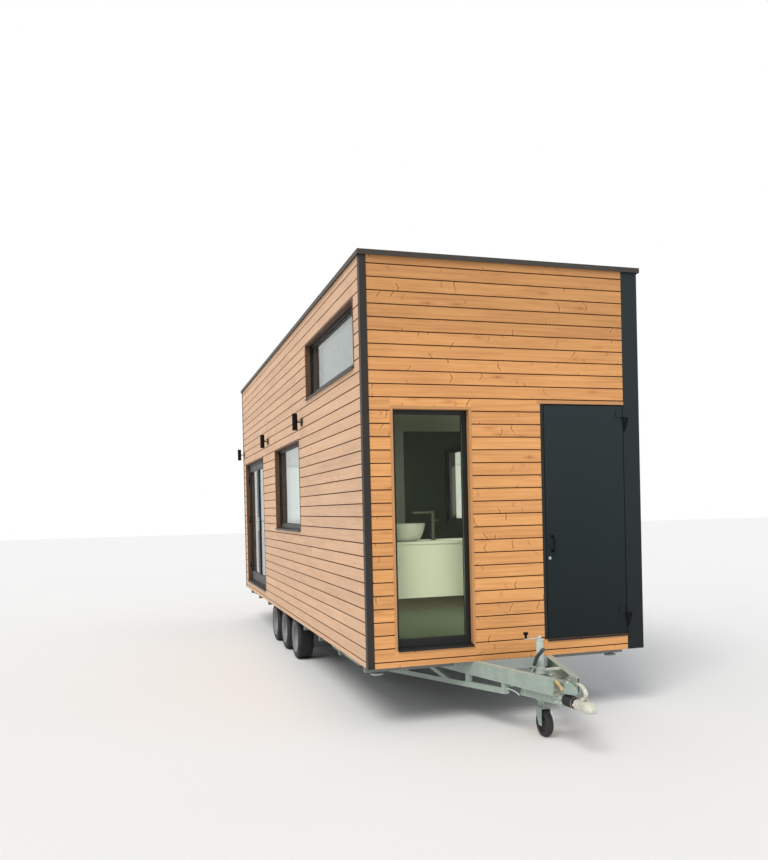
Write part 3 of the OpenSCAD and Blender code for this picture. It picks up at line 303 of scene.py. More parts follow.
def galvanised(name, base, shade_share=0.0, front=None):
    """Galvanised steel with faint spangle, runs down its faces and paler tops, which are a painted highlight.

    A shade share darkens it all, a painted shade for parts under the house, and what stands in front of the
    house may take a paler tone of its own, painted light."""
    m = new_material(name, base, 0.48, 0.18)
    g = Graph(m)
    p = g.coords()
    grey = g.node("RGBToBW", {0: g.voronoi(p, 62)["Color"]})[0]
    cloud = g.noise(p, 7, 5, 0.65)
    low, high = shade(base, 0.84), shade(base, 1.16)
    spangle = g.ramp(grey, (0.2, low), (0.8, high))
    colour = g.mix(0.5, spangle, g.ramp(cloud, (0.32, low), (0.62, high)))
    highlight_facing = g.split(g.node("NewGeometry")["True Normal"])["Z"]
    runs = g.ramp(g.noise(p, (48, 48, 3)), (0.36, 0.45), (0.6, 0.0))
    colour = g.mix(runs, colour, low)
    # In front of the house, out of the shade beneath it, the colour turns paler: painted light.
    if front:
        colour = g.mix(g.math("LESS_THAN", g.split(p)["Y"], CORNER.y), colour, front)
    # Upward faces turn paler: a painted highlight.
    top = tuple(min(0.8, c * share) for c, share in zip(base, (1.59, 1.5, 1.575)))
    colour = g.mix(g.ramp(highlight_facing, (0.5, 0.0), (0.9, 0.6)), colour, top)
    # A share of dark grey over everything: painted shade under the house.
    if shade_share:
        colour = g.mix(shade_share, colour, (0.2, 0.2, 0.19))
    g.base(colour)
    g.rough(g.ramp(grey, (0.1, 0.4), (0.9, 0.62)))
    g.bump(cloud, 0.12, 0.001)
    return m


def plain(name, base, rough, grain=120.0, depth=0.0003, metal=0.0, cloud=0.14, **sockets):
    """A smooth moulded or painted surface with a fine grain."""
    m = new_material(name, base, rough, metal, **sockets)
    g = Graph(m)
    p = g.coords()
    soil = g.noise(p, 5.0)
    g.base(g.ramp(soil, (0.3, shade(base, 1 - cloud)), (0.7, shade(base, 1 + 0.6 * cloud))))
    g.bump(g.noise(p, grain, 3), 0.25, depth)
    return m


def chipped(name, base, chip):
    """Brushed paint over a casting, with dark chips and stains."""
    m = new_material(name, base, 0.45)
    g = Graph(m)
    p = g.coords()
    stain = g.noise(p, 26, 5, 0.65)
    flake = g.noise(p, 120, 4, 0.7)
    colour = g.ramp(stain, (0.34, shade(base, 0.74)), (0.62, base))
    chips = g.ramp(flake, (0.6, 0.0), (0.67, 1.0))
    spot = g.math("MULTIPLY", chips, g.ramp(stain, (0.6, 1.0), (0.72, 0.2)))
    g.base(g.mix(g.math("MULTIPLY", spot, 0.6), colour, chip))
    g.rough(g.ramp(flake, (0.4, 0.42), (0.7, 0.7)))
    g.bump(flake, 0.3, 0.0006)
    return m


def floor_deck(name):
    """Boards on top, bathroom tiles, a pale ceiling below the loft and dark sheet underneath."""
    m = new_material(name, (0.42, 0.34, 0.25), 0.5)
    g = Graph(m)
    p = g.coords()
    planks = g.node("TexBrick", {
        "Vector": g.mapped(p, rotation=(0, 0, math.pi / 2)), "Scale": 1.0, "Brick Width": 1.25,
        "Row Height": 0.19, "Mortar Size": 0.0015, "Color1": (0.36, 0.3, 0.22),
        "Color2": (0.42, 0.35, 0.26), "Mortar": (0.12, 0.1, 0.08)}, offset=0.37)["Color"]
    grain = g.noise(p, (40, 2, 40))
    boards = g.mix(g.ramp(grain, (0.3, 0.3), (0.7, 0.0)), planks, (0.25, 0.19, 0.13))
    place = g.split(p)
    low = g.math("LESS_THAN", place["Z"], CORNER.z + FLOOR_T - 0.001)
    loft_off = g.math("ABSOLUTE", g.math("SUBTRACT", place["Z"], CORNER.z + LOFT_Z))
    below = g.ramp(grain, (0.3, (0.05, 0.05, 0.048)), (0.7, (0.075, 0.073, 0.068)))
    tile = g.ramp(grain, (0.3, (0.27, 0.31, 0.22)), (0.7, (0.34, 0.385, 0.275)))
    bath = g.math("LESS_THAN", place["Y"], CORNER.y + BATH_L)
    colour = g.mix(low, boards, below)
    colour = g.mix(g.math("MULTIPLY", bath, g.math("SUBTRACT", 1.0, low)), colour, tile)
    g.base(g.mix(g.math("LESS_THAN", loft_off, 0.04), colour, (0.55, 0.53, 0.47)))
    g.bump(grain, 0.15, 0.0006)
    return m


def glazing(name, tint, floor):
    """One clear sheet: a mirror that grows towards a grazing view, over a tinted clear layer."""
    m = new_material(name, (0.76, 0.8, 0.79), 0.02, 1.0)
    g = Graph(m)
    clear = g.node("BsdfTransparent", {"Color": tint})[0]
    rise = g.math("POWER", g.node("LayerWeight", {"Blend": 0.5})["Facing"], 5.0)
    share = g.math("ADD", g.math("MULTIPLY", rise, 1.0 - floor), floor)
    mixed = g.node("MixShader", {0: share, 1: clear, 2: g.bsdf.outputs[0]})[0]
    g.link(mixed, g.tree.nodes["Material Output"].inputs["Surface"])
    g.rough(g.ramp(g.noise(g.coords(), 6.0, 3), (0.3, 0.012), (0.7, 0.035)))
    return m


def room_paint(name):
    """Inner wall board, pale round the entrance; the dark green in front is a painted shade with a painted
    reflection of greenery.
    """
    m = new_material(name, (0.6, 0.58, 0.53), 0.8)
    g = Graph(m)
    p = g.coords()
    cloud = g.noise(p, 5.0)
    pale = g.ramp(cloud, (0.3, (0.52, 0.5, 0.45)), (0.7, (0.6, 0.58, 0.53)))
    shaded_reflection_green = g.ramp(cloud, (0.3, (0.04, 0.066, 0.036)), (0.7, (0.064, 0.1, 0.056)))
    # The front part of the room takes the dark green: painted shade and painted reflection.
    g.base(g.mix(g.math("GREATER_THAN", g.split(p)["Y"], CORNER.y + GREEN_L), shaded_reflection_green, pale))
    g.bump(g.noise(p, 180.0, 3), 0.2, 0.0003)
    return m


def paper(name):
    """The studio's floor, almost even."""
    m = new_material(name, (0.9, 0.9, 0.895), 0.9)
    g = Graph(m)
    grain = g.noise(g.coords(), 0.35, 2, 0.5)
    g.base(g.ramp(grain, (0.3, (0.89, 0.89, 0.885)), (0.7, (0.905, 0.905, 0.9))))
    return m


M = {
    # One timber on every wall: the front's warmer orange and the side's paler tone are painted light, and the
    # front boards darken under the coping, painted shade.
    "front_wood_sunlit": wood("front_boards", (0.85, 0.4, 0.138), (0.45, 0.16, 0.044), (0.24, 0.072, 0.019),
                       top_shade=0.8),
    "side_wood_pale_lit": wood("side_boards", (0.76, 0.485, 0.3), (0.56, 0.3, 0.16), (0.34, 0.155, 0.072),
                      knots=0.6, contrast=0.7),
    # The groove material's dark brown is a painted shadow in the board grooves.
    "groove": plain("board_groove_shadow", (0.17, 0.07, 0.028), 0.8, 160, 0.0004),
    "lining_wood": lining_wood("lining_boards", (0.6, 0.295, 0.115), (0.15, 0.068, 0.03)),
    "dark_sheet": sheet_metal("dark_sheet", (0.018, 0.025, 0.027), 0.46, 0.12, 0.18, (0.5, 1.35)),
    "trim": sheet_metal("corner_trim", (0.024, 0.019, 0.015), 0.5, 0.12, 0.36),
    "coping": sheet_metal("coping_sheet", (0.044, 0.037, 0.03), 0.5, 0.12, 0.4),
    "frame": sheet_metal("dark_frame", (0.009, 0.011, 0.01), 0.42, 0.1, 0.34),
    "utility": sheet_metal("utility_door_paint", (0.018, 0.027, 0.029), 0.48, 0.2, 0.13, (0.45, 1.6)),
    "roof": plain("roof_membrane", (0.075, 0.075, 0.072), 0.85, 60, 0.001),
    "wall": room_paint("wall_board"),
    "floor": floor_deck("floor_boards"),
    "glass_front": glazing("glazing_front", (0.982, 0.995, 0.95), 0.004),
    "glass": glazing("glazing_side", (0.97, 0.988, 0.975), 0.04),
    "spacer": plain("spacer_bar", (0.2, 0.21, 0.21), 0.45, 200, 0.0002, 0.6),
    "gasket": plain("glazing_gasket", (0.008, 0.008, 0.008), 0.7, 260, 0.0003),
    "black": plain("black_metal", (0.006, 0.006, 0.007), 0.5, Specular_IOR_Level=0.1),
    "tap": plain("tap_metal", (0.16, 0.17, 0.15), 0.3, 90, 0.0002, 0.6),
    "bright": plain("bright_metal", (0.62, 0.63, 0.63), 0.28, 90, 0.0002, 0.9),
    "vanity": plain("vanity_board", (0.92, 0.92, 0.88), 0.5, cloud=0.03),
    "ceramic": plain("basin_glaze", (0.84, 0.84, 0.8), 0.14, 8, 0.0002),
    "lens": plain("lamp_lens", (0.72, 0.72, 0.68), 0.22, 40, 0.0002),
    "zinc": galvanised("galvanised_steel", (0.35, 0.43, 0.375)),
    # Cross members and axles under the house: a darker copy, painted shade, paler in front of the house,
    # painted light.
    "zinc_shaded": galvanised("galvanised_shaded", (0.26, 0.29, 0.27), 0.35, (0.52, 0.58, 0.56)),
    "zinc_bright": galvanised("galvanised_bright", (0.56, 0.62, 0.57)),
    "rim": galvanised("rim_paint", (0.24, 0.25, 0.25)),
    "rubber": plain("black_rubber", (0.022, 0.022, 0.023), 0.72, 220, 0.0004),
    "tyre": plain("tyre_rubber", (0.013, 0.013, 0.014), 0.62, 180, 0.0006),
    "coupling": chipped("coupling_paint", (0.71, 0.72, 0.61), (0.075, 0.08, 0.07)),
    "grip": plain("lever_grip", (0.05, 0.07, 0.068), 0.55),
    "yellow": plain("yellow_zinc", (0.84, 0.62, 0.3), 0.36, 80, 0.0003, 0.1),
    "pink_zinc": plain("rod_plating", (0.62, 0.5, 0.46), 0.32, 80, 0.0002, 0.6),
    "paper": paper("pale_floor"),
}


def dress(node, material):
    """Gives a CAD node its material."""
    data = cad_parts[node].data
    data.materials.clear()
    data.materials.append(M[material])


# Mesh helpers


def face_outwards(bm):
    bmesh.ops.recalc_face_normals(bm, faces=bm.faces)


def new_object(name, bm):
    """A new object from a bmesh, which is used up."""
    mesh = bpy.data.meshes.new(name)
    bm.to_mesh(mesh)
    bm.free()
    made = bpy.data.objects.new(name, mesh)
    bpy.context.scene.collection.objects.link(made)
    return made


def discard(thing):
    mesh = thing.data
    bpy.data.objects.remove(thing)
    bpy.data.meshes.remove(mesh)


def smooth_by_angle(piece, degrees=34):
    piece.data.shade_smooth()
    piece.data.set_sharp_from_angle(angle=math.radians(degrees))


def finish_piece(name, bm, material, body="house", replaces=(), smooth=False):
    face_outwards(bm)
    piece = new_object(name, bm)
    if smooth:
        smooth_by_angle(piece)
    piece.data.materials.append(M[material])
    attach(piece, body)
    if replaces:
        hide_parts(*replaces)
    return piece


def apply_modifier(piece, name, kind, **settings):
    """Puts a modifier's result in the place of the piece's mesh."""
    mod = piece.modifiers.new(name, kind)
    for key, value in settings.items():
        setattr(mod, key, value)
    shape = bpy.data.meshes.new_from_object(piece.evaluated_get(bpy.context.evaluated_depsgraph_get()))
    piece.modifiers.remove(mod)
    old = piece.data
    piece.data = shape
    bpy.data.meshes.remove(old)


def carve(piece, cutters):
    """Cuts the shapes of a bmesh out of a piece."""
    face_outwards(cutters)
    tool = new_object("cutter", cutters)
    apply_modifier(piece, "cut", "BOOLEAN", operation="DIFFERENCE", solver="EXACT", object=tool)
    discard(tool)


def soften(piece, width):
    """Rounds the sharp edges of a piece for good."""
    apply_modifier(piece, "edge", "BEVEL", width=width / 1000, segments=2, limit_method="ANGLE",
                   angle_limit=math.radians(38))
    smooth_by_angle(piece, 40)


def prism(bm, profile, origin, along, out, up, length, uv_row, uv_shift):
    """Sweeps a closed profile of (out, up) points by length; U runs along it, in metres."""
    layer = bm.loops.layers.uv.verify()
    ends = [[bm.verts.new(origin + along * s + out * p[0] + up * p[1]) for p in profile]
            for s in (0.0, length)]
    count = len(profile)
    faces = []
    for i in range(count):
        j = (i + 1) % count
        side = ((0, i), (0, j), (1, j), (1, i))
        f = bm.faces.new([ends[e][k] for e, k in side])
        for loop, (e, k) in zip(f.loops, side):
            loop[layer].uv = (uv_shift + e * length, uv_row + profile[k][1] + profile[k][0])
        faces.append(f)
    for ring in (ends[0][::-1], ends[1]):
        f = bm.faces.new(ring)
        for loop in f.loops:
            loop[layer].uv = (uv_shift, uv_row + profile[0][1] + 0.05)
        faces.append(f)
    return faces


def box(bm, lo, hi, bevel=0.0):
    """A block between two corners, with bevelled edges."""
    verts = [bm.verts.new((x, y, z)) for x in (lo[0], hi[0]) for y in (lo[1], hi[1]) for z in (lo[2], hi[2])]
    quads = ((0, 1, 3, 2), (4, 6, 7, 5), (0, 4, 5, 1), (2, 3, 7, 6), (0, 2, 6, 4), (1, 5, 7, 3))
    faces = [bm.faces.new([verts[i] for i in q]) for q in quads]
    if bevel:
        edges = list({e for f in faces for e in f.edges})
        bmesh.ops.bevel(bm, geom=edges, offset=bevel, segments=2, profile=0.5, affect="EDGES")


def bridge(bm, a, b, close=True):
    """Faces between two rings of points."""
    count = len(a)
    for k in range(count if close else count - 1):
        j = (k + 1) % count
        bm.faces.new((a[k], a[j], b[j], b[k]))


def bridge_round(bm, rings, close=True):
    """Faces between rings that stand all round an axis."""
    for a, b in zip(rings, rings[1:] + rings[:1]):
        bridge(bm, a, b, close)


def skin(bm, rings):
    """Joins rings of points and caps both ends."""
    for a, b in zip(rings, rings[1:]):
        bridge(bm, a, b)
    bm.faces.new(rings[0][::-1])
    bm.faces.new(rings[-1])


# Outlines, sections and offsets are in millimetres from here on, and places in metres


def offset(x, y, z):
    return Vector((x, y, z)) / 1000


def turned(centre, axis, side, r, h, angle):
    """The point at a radius, a height and an angle round an axis, counted from side."""
    away = side * math.cos(angle) + axis.cross(side) * math.sin(angle)
    return centre + away * (r / 1000) + axis * (h / 1000)


def revolve(bm, profile, centre, axis, segments, close=True, side=None):
    """Turns (radius, along) points about an axis through centre."""
    axis = axis.normalized()
    side = side or axis.orthogonal().normalized()
    bridge_round(bm, [[bm.verts.new(turned(centre, axis, side, r, h, math.tau * i / segments))
                       for r, h in profile] for i in range(segments)], close)


def peg(radius, length):
    """Outline of a plain cylinder, for revolve."""
    return [(TIP, 0), (radius, 0), (radius, length), (TIP, length)]


def collar(inner, outer, low, high, across=1, along=1):
    """Outline of a ring with chamfered outer edges, for revolve."""
    return [(inner, low), (outer - across, low), (outer, low + along), (outer, high - along),
            (outer - across, high), (inner, high)]


def rod(bm, start, end, radius, segments=20, bevel=0.0):
    """A cylinder between two points, which may have chamfered ends."""
    axis = end - start
    length = axis.length * 1000
    outline = collar(TIP, radius, 0, length, bevel, bevel) if bevel else peg(radius, length)
    revolve(bm, outline, start, axis, segments)


def bolt(bm, place, direction, size, height):
    """A hexagon head on a washer."""
    direction = direction.normalized()
    revolve(bm, peg(size * 1.05, WASHER_T), place, direction, 20)
    head = [(TIP, 0), (size * 0.86, 0), (size * 0.86, height * 0.8), (size * 0.74, height), (TIP, height)]
    revolve(bm, head, place + direction * (WASHER_T / 1000), direction, 6)


def smooth_path(points, steps):
    """A curve through the points, as many short straight pieces."""
    pts = [Vector(p) for p in points]
    pts = [pts[0] * 2 - pts[1], *pts, pts[-1] * 2 - pts[-2]]
    line = []
    for a, b, c, d in zip(pts, pts[1:], pts[2:], pts[3:]):
        for i in range(steps):
            t = i / steps
            line.append(0.5 * (2 * b + (c - a) * t + (2 * a - 5 * b + 4 * c - d) * t ** 2
                               + (3 * b - a - 3 * c + d) * t ** 3))
    return line + [pts[-2]]


def path_from(origin, offsets, steps):
    """A curve through points given from an origin."""
    return smooth_path([origin + offset(*o) for o in offsets], steps)


def sweep(bm, line, section, side):
    """Carries a closed (across, over) section along a line; across lies along side."""
    rings = []
    last = len(line) - 1
    for i, point in enumerate(line):
        ahead = (line[min(i + 1, last)] - line[max(i - 1, 0)]).normalized()
        over = side.cross(ahead).normalized()
        across = ahead.cross(over)
        shape = section(i / last) if callable(section) else section
        rings.append([bm.verts.new(point + across * (a / 1000) + over * (b / 1000)) for a, b in shape])
    skin(bm, rings)


def round_section(radius, count):
    return [(radius * math.cos(math.tau * k / count), radius * math.sin(math.tau * k / count))
            for k in range(count)]


def soft_section(wide, high, corner, steps=4):
    """A rectangle about the origin with round corners."""
    shape = []
    for sx, sy, start in ((1, 1, 0), (-1, 1, 90), (-1, -1, 180), (1, -1, 270)):
        for i in range(steps + 1):
            a = math.radians(start + 90 * i / steps)
            shape.append((sx * (wide / 2 - corner) + corner * math.cos(a),
                          sy * (high / 2 - corner) + corner * math.sin(a)))
    return shape


def centre_at(lo, hi, z):
    """The point halfway across a box in X and Y, at a height."""
    return Vector(((lo.x + hi.x) / 2, (lo.y + hi.y) / 2, z))


def islands(node):
    """The boxes of a CAD node's separate solids."""
    bm = bmesh.new()
    bm.from_mesh(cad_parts[node].data)
    bmesh.ops.remove_doubles(bm, verts=bm.verts, dist=0.00001)
    seen, boxes = set(), []
    for start in bm.verts:
        if start in seen:
            continue
        group, todo = [], [start]
        seen.add(start)
        while todo:
            v = todo.pop()
            group.append(v.co)
            for e in v.link_edges:
                other = e.other_vert(v)
                if other not in seen:
                    seen.add(other)
                    todo.append(other)
        boxes.append(tuple(Vector([pick(c[k] for c in group) for k in range(3)]) for pick in (min, max)))
    bm.free()
    return boxes


# Boards on the walls


def board_profile(z0, z1, grooved):
    """Shiplap section as (out, up) from the board's face, with a shadow groove on top."""
    if not grooved:
        return [(-CLAD_T, z0), (-EDGE, z0), (0, z0 + EDGE), (0, z1 - EDGE), (-EDGE, z1), (-CLAD_T, z1)]
    face = z1 - GROOVE
    return [(-CLAD_T, z0), (-EDGE, z0), (0, z0 + EDGE), (0, face - EDGE), (-EDGE, face), (-TONGUE, face),
            (-TONGUE, z1), (-CLAD_T, z1)]


def rows(top):
    """Bottom and top of every board row up to a height, and whether the row is whole."""
    z0, z1 = 0.0, FIRST_ROW
    while z0 < top - THINNEST:
        yield z0, min(z1, top), z1 <= top
        z0, z1 = z1, z1 + ROW


def row_spans(start, end, z0, z1, whole, holes):
    """One row's stretches between the openings, as [start, end, bottom, top, grooved]."""
    cuts = sorted({start, end, *(h[0] for h in holes), *(h[2] for h in holes)})
    cuts = [c for c in cuts if start <= c <= end]
    spans = []
    for a, b in zip(cuts, cuts[1:]):
        low, high, grooved = z0, z1, whole
        for left, sill, right, head in holes:
            if left <= a and b <= right and sill < high - OVERLAP and head > low + OVERLAP:
                if sill <= low and head >= high:
                    low = high
                elif sill > low:
                    high, grooved = sill, False
                else:
                    low = head
        if high - low <= THINNEST:
            continue
        if spans and spans[-1][1:] == [a, low, high, grooved]:
            spans[-1][1] = b
        else:
            spans.append([a, b, low, high, grooved])
    return spans


def clad_wall(name, material, origin, along, out, start, end, holes, first_board, joint_every):
    """Covers one wall with boards, cut round its openings."""
    bm = bmesh.new()
    board = first_board
    for z0, z1, whole in rows(BOARDS_TOP):
        shift = random.uniform(0, 40)
        joint = start + random.uniform(0.35, 1.0) * joint_every
        for a, b, low, high, grooved in row_spans(start, end, z0, z1, whole, holes):
            stops = [a]
            while joint < b - NEAREST_JOINT:
                if joint > a + NEAREST_JOINT:
                    stops.append(joint)
                joint += joint_every * random.uniform(0.75, 1.1)
            stops.append(b)
            for p, q in zip(stops, stops[1:]):
                gap = JOINT_GAP if q != b else 0.0
                board += 1
                faces = prism(bm, board_profile(low, high, grooved), origin + along * p, along, out, Z,
                              q - p - gap, board + UV_MARGIN - low, shift + p + random.uniform(0, 9))
                # Each board's bottom face and its groove faces take the dark groove material, a painted
                # shadow.
                for k in (0, 4, 5) if grooved else (0,):
                    faces[k].material_index = 1
    piece = finish_piece(name, bm, material, replaces=("timber_cladding",))
    piece.data.materials.append(M["groove"])


clad_wall("front_boards", "front_wood_sunlit", at(0, 0, 0), X, -Y, CORNER_W, METAL_X,
          [FRONT_WINDOW, UTILITY_DOOR], first_board=0, joint_every=9.0)
clad_wall("side_boards", "side_wood_pale_lit", at(0, 0, 0), Y, -X, CORNER_W, BODY_L - CORNER_W,
          [LOFT_WINDOW, MIDDLE_WINDOW, ENTRANCE], first_board=300, joint_every=4.2)
clad_wall("rear_boards", "side_wood_pale_lit", at(0, BODY_L, 0), X, Y, CORNER_W, BODY_W - METAL_RETURN,
          [REAR_WINDOW], first_board=900, joint_every=9.0)

# Panes: two clear sheets with a spacer bar between them, and gaskets against the frames


def edge_frame(bm, lo, hi, normal, wide, bevel=0.0):
    """Four bars round a thin box, normal being its thin axis."""
    across = [k for k in range(3) if k != normal]
    for k, other in (across, across[::-1]):
        for end in (0, 1):
            a, b = Vector(lo), Vector(hi)
            if end:
                a[k] = b[k] - wide
            else:
                b[k] = a[k] + wide
            if k == across[0]:
                a[other] += wide
                b[other] -= wide
            box(bm, a, b, bevel)


def slab(lo, hi, normal, low, high, inset):
    """A box's corners, set in on all sides and kept between low and high along its thin axis."""
    return (Vector([low if k == normal else lo[k] + inset for k in range(3)]),
            Vector([high if k == normal else hi[k] - inset for k in range(3)]))


def sealed_unit(name, node, body):
    """Replaces a glass node by its sheets, spacer bars and gaskets."""
    sheets, front_sheets, bars, gaskets = (bmesh.new() for _ in range(4))
    for lo, hi in islands(node):
        size = hi - lo
        normal = min(range(3), key=lambda k: size[k])
        low, high = lo[normal], hi[normal]
        panes = front_sheets if normal == 1 and lo.y < CORNER.y + 1 else sheets
        for a, b in ((low, low + SHEET_T), (high - SHEET_T, high)):
            box(panes, *slab(lo, hi, normal, a, b, SHEET_INSET), SHEET_EDGE)
        inner = SHEET_T + SPACER_GAP
        edge_frame(bars, *slab(lo, hi, normal, low + inner, high - inner, SHEET_INSET), normal, SPACER_W)
        for a, b in ((low - GASKET_T, low), (high, high + GASKET_T)):
            edge_frame(gaskets, *slab(lo, hi, normal, a, b, GASKET_INSET), normal, GASKET_W, GASKET_EDGE)
    if front_sheets.verts:
        finish_piece(name + "_front_sheets", front_sheets, "glass_front", body, (node,))
    else:
        front_sheets.free()
    finish_piece(name + "_sheets", sheets, "glass", body, (node,))
    finish_piece(name + "_spacers", bars, "spacer", body)
    finish_piece(name + "_gaskets", gaskets, "gasket", body)


sealed_unit("window_panes", "window_glass", "house")
sealed_unit("near_door_pane", "entrance_glass_near", "entrance_leaf_near")
sealed_unit("far_door_pane", "entrance_glass_far", "entrance_leaf_far")

# Bathroom

BOWL_OUTSIDE = ((60, 0), (128, 4), (166, 36), (190, 90), (204.5, 150))
BOWL_LIP = [(204.5, 152.5), (202.5, 154.8), (199.5, 154.8), (197, 152.5)]
BOWL_INSIDE = ((197, 150), (184, 92), (160, 46), (118, 18), (22, 11))
KNOB_Z = 175


def curved_outline(points):
    """A smooth outline through (radius, along) points, for revolve."""
    return [(p.x, p.z) for p in smooth_path([(r, 0, h) for r, h in points], 6)]


lo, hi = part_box("basin")
basin = centre_at(lo, hi, lo.z)
bm = bmesh.new()
bowl = [(TIP, 0.0), *curved_outline(BOWL_OUTSIDE), *BOWL_LIP, *curved_outline(BOWL_INSIDE), (TIP, 11)]
revolve(bm, bowl, basin, Z, 96, False)
bmesh.ops.remove_doubles(bm, verts=bm.verts, dist=0.0004)
finish_piece("basin_bowl", bm, "ceramic", replaces=("basin",), smooth=True)

bm = bmesh.new()
waste = [(TIP, 0.0), (21, 0.0), (21, 2), (16, 3), (TIP, 3)]
revolve(bm, waste, basin + offset(0, 0, 11.5), Z, 40)
lo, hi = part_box("basin_tap")
tap = Vector((hi.x - 0.062, (lo.y + hi.y) / 2, lo.z))
height, reach = (hi.z - lo.z) * 1000, (tap.x - lo.x) * 1000
post = [(TIP, 0), (26, 0), (26, 5), (24, 8), (16.5, 9), (16, height - 4),
        (14.5, height), (TIP, height)]
revolve(bm, post, tap, Z, 40)
spout = path_from(tap, ((-6, 0, height - 14), (-reach * 0.5, 0, height - 13),
                        (-reach + 14, 0, height - 13.5), (-reach + 10.5, 0, height - 22)), 5)
sweep(bm, spout, round_section(10.4, 20), Y)
stem = path_from(tap, ((12, 0, KNOB_Z), (34, 0, KNOB_Z), (61, 0, KNOB_Z + 3)), 5)
sweep(bm, stem, lambda t: round_section(8.5 - 3 * t, 16), Y)
knob = [(TIP, 0), (13, 0), (13, 12), (TIP, 14)]
revolve(bm, knob, tap + offset(12, 0, KNOB_Z), X, 24)
finish_piece("tap_and_waste", bm, "tap", replaces=("basin_tap",), smooth=True)

# Wheels: a grooved tyre and a dished rim with bolts and vents

SIDEWALL = ((174, 30), (187, 12), (203, 3.5), (220, 0.2), (221.5, 1.8), (230, 1.2), (242, 5.8), (248, 9))
SHOULDER = ((6.5, 15), (1.5, 24))
TREAD_GROOVES = (-46, -16, 16, 46)
TREAD_DEPTH = 7.5
BLOCKS, BLOCK_STEPS, BLOCK_CUT = 64, 3, 5
BLOCK_W, BLOCK_H = 34, 12
BARREL = ((166.5, -80), (186, -90.5), (186.2, -88), (174, -77), (173.5, -60), (164, -50), (164, 30),
          (173.5, 45), (174, 77), (186.2, 88), (186, 90.5), (183.5, 91.5), (169, 80), (168.5, 48),
          (159, 33), (159, -52), (168.5, -62))
DISC = ((33, 45), (68, 45), (74, 42), (93, 24), (100, 22.2), (140, 29), (160, 31), (160, 26), (140, 23.8),
        (99.5, 17), (90, 19), (70, 38), (33, 38))
HUB = ((TIP, -15), (45.5, -15), (45.5, 46), (33, 47), (32.5, 60), (30, 62.2), (TIP, 62.2))
VALVE = ((TIP, 0), (4.2, 0), (3.4, 6), (3.4, 26), (TIP, 27))
VENTS, VENT_AT, VENT_R = 8, 126, 15
WHEEL_BOLTS, WHEEL_BOLT_AT = 5, 56.5


def tyre_piece(name, outward):
    lo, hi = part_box(name)
    axis = X * outward
    half, r = (hi.x - lo.x) * 500, (hi.z - lo.z) * 500
    wall = [(a, -half + h) for a, h in SIDEWALL] + [(r - a, -half + h) for a, h in SHOULDER]
    tread = []
    for g in TREAD_GROOVES:
        low = r - TREAD_DEPTH
        tread += [(r, g - 6.5), (low, g - 4.5), (low, g + 4.5), (r, g + 6.5)]
    profile = wall + tread + [(a, -h) for a, h in wall[::-1]]
    bm = bmesh.new()
    steps = BLOCKS * BLOCK_STEPS
    rings = []
    for i in range(steps):
        sunk = 0.0 if i % BLOCK_STEPS else BLOCK_CUT
        ring = []
        for a, h in profile:
            shoulder = abs(h) > half - BLOCK_W and a > r - BLOCK_H
            place = turned((lo + hi) / 2, axis, Y, a - sunk if shoulder else a, h, math.tau * i / steps)
            ring.append(bm.verts.new(place))
        rings.append(ring)
    bridge_round(bm, rings, False)
    finish_piece(name + "_tyre", bm, "tyre", name, (name,), True)


def rim_mesh():
    """A rim about +X, its outer face towards +X, with real vents."""
    bm = bmesh.new()
    centre = Vector((0, 0, 0))
    for profile in (BARREL, DISC):
        revolve(bm, profile, centre, X, 96, side=Y)
    face_outwards(bm)
    base = new_object("rim", bm)
    holes = bmesh.new()
    for i in range(VENTS):
        start = turned(centre, X, Y, VENT_AT, -10, math.tau * (i + 0.5) / VENTS)
        revolve(holes, peg(VENT_R, 60), start, X, 24)
    carve(base, holes)
    bm = bmesh.new()
    bm.from_mesh(base.data)
    revolve(bm, HUB, centre, X, 48)
    for i in range(WHEEL_BOLTS):
        place = turned(centre, X, Y, WHEEL_BOLT_AT, 44.8, math.tau * i / WHEEL_BOLTS + 0.3)
        bolt(bm, place, X, 10.5, 12)
    revolve(bm, VALVE, turned(centre, X, Y, 152, 30, 1.9), X, 14)
    discard(base)
    return bm


RIM = rim_mesh()
for node in [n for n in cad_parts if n.startswith("wheel_")]:
    outward = -1 if "left" in node else 1
    tyre_piece(node, outward)
    lo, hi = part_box(node)
    bm = RIM.copy()
    place = Matrix.Translation((lo + hi) / 2)
    if outward < 0:
        place = place @ Matrix.Rotation(math.pi, 4, "Z")
    bmesh.ops.transform(bm, matrix=place, verts=bm.verts)
    finish_piece(node + "_rim", bm, "rim", node, (), True)
RIM.free()

# Hitch, in millimetres from the house's corner

CENTRE_X = 1275.0
AXIS_Z = -155.0
DRAWBAR_X, DRAWBAR_Y = 400, 1859
SLOPE = math.radians(15.4)
BEAM_BOTTOM = -120
HOUSING_FRONT, HOUSING_BACK = -900, -665
PIVOT_Y, PIVOT_Z = -1150.0, -99.0
BRAKE_Y, BRAKE_Z = -380, -134
LEVER_X = CENTRE_X - 60
JOCKEY_Y = -487
SPRING_LOW, SPRING_HIGH = (-893.0, -98.0), (-700.0, -8.0)
SPRING_X = CENTRE_X - 22
SPRING_SHARE = 0.7


def mm(x, y, z):
    return at(x / 1000, y / 1000, z / 1000)


def mirrored(x):
    return 2 * CENTRE_X - x


def strip_x(depth, y):
    """Where a line lies that runs along the left drawbar channel, at a depth behind its outer face."""
    return DRAWBAR_X + depth / math.cos(SLOPE) + (DRAWBAR_Y - y) * math.tan(SLOPE)


def upright_plate(bm, outline, x0, x1):
    """A plate of a (y, z) outline between two x."""
    skin(bm, [[bm.verts.new(mm(x, y, z)) for y, z in outline] for x in (x0, x1)])


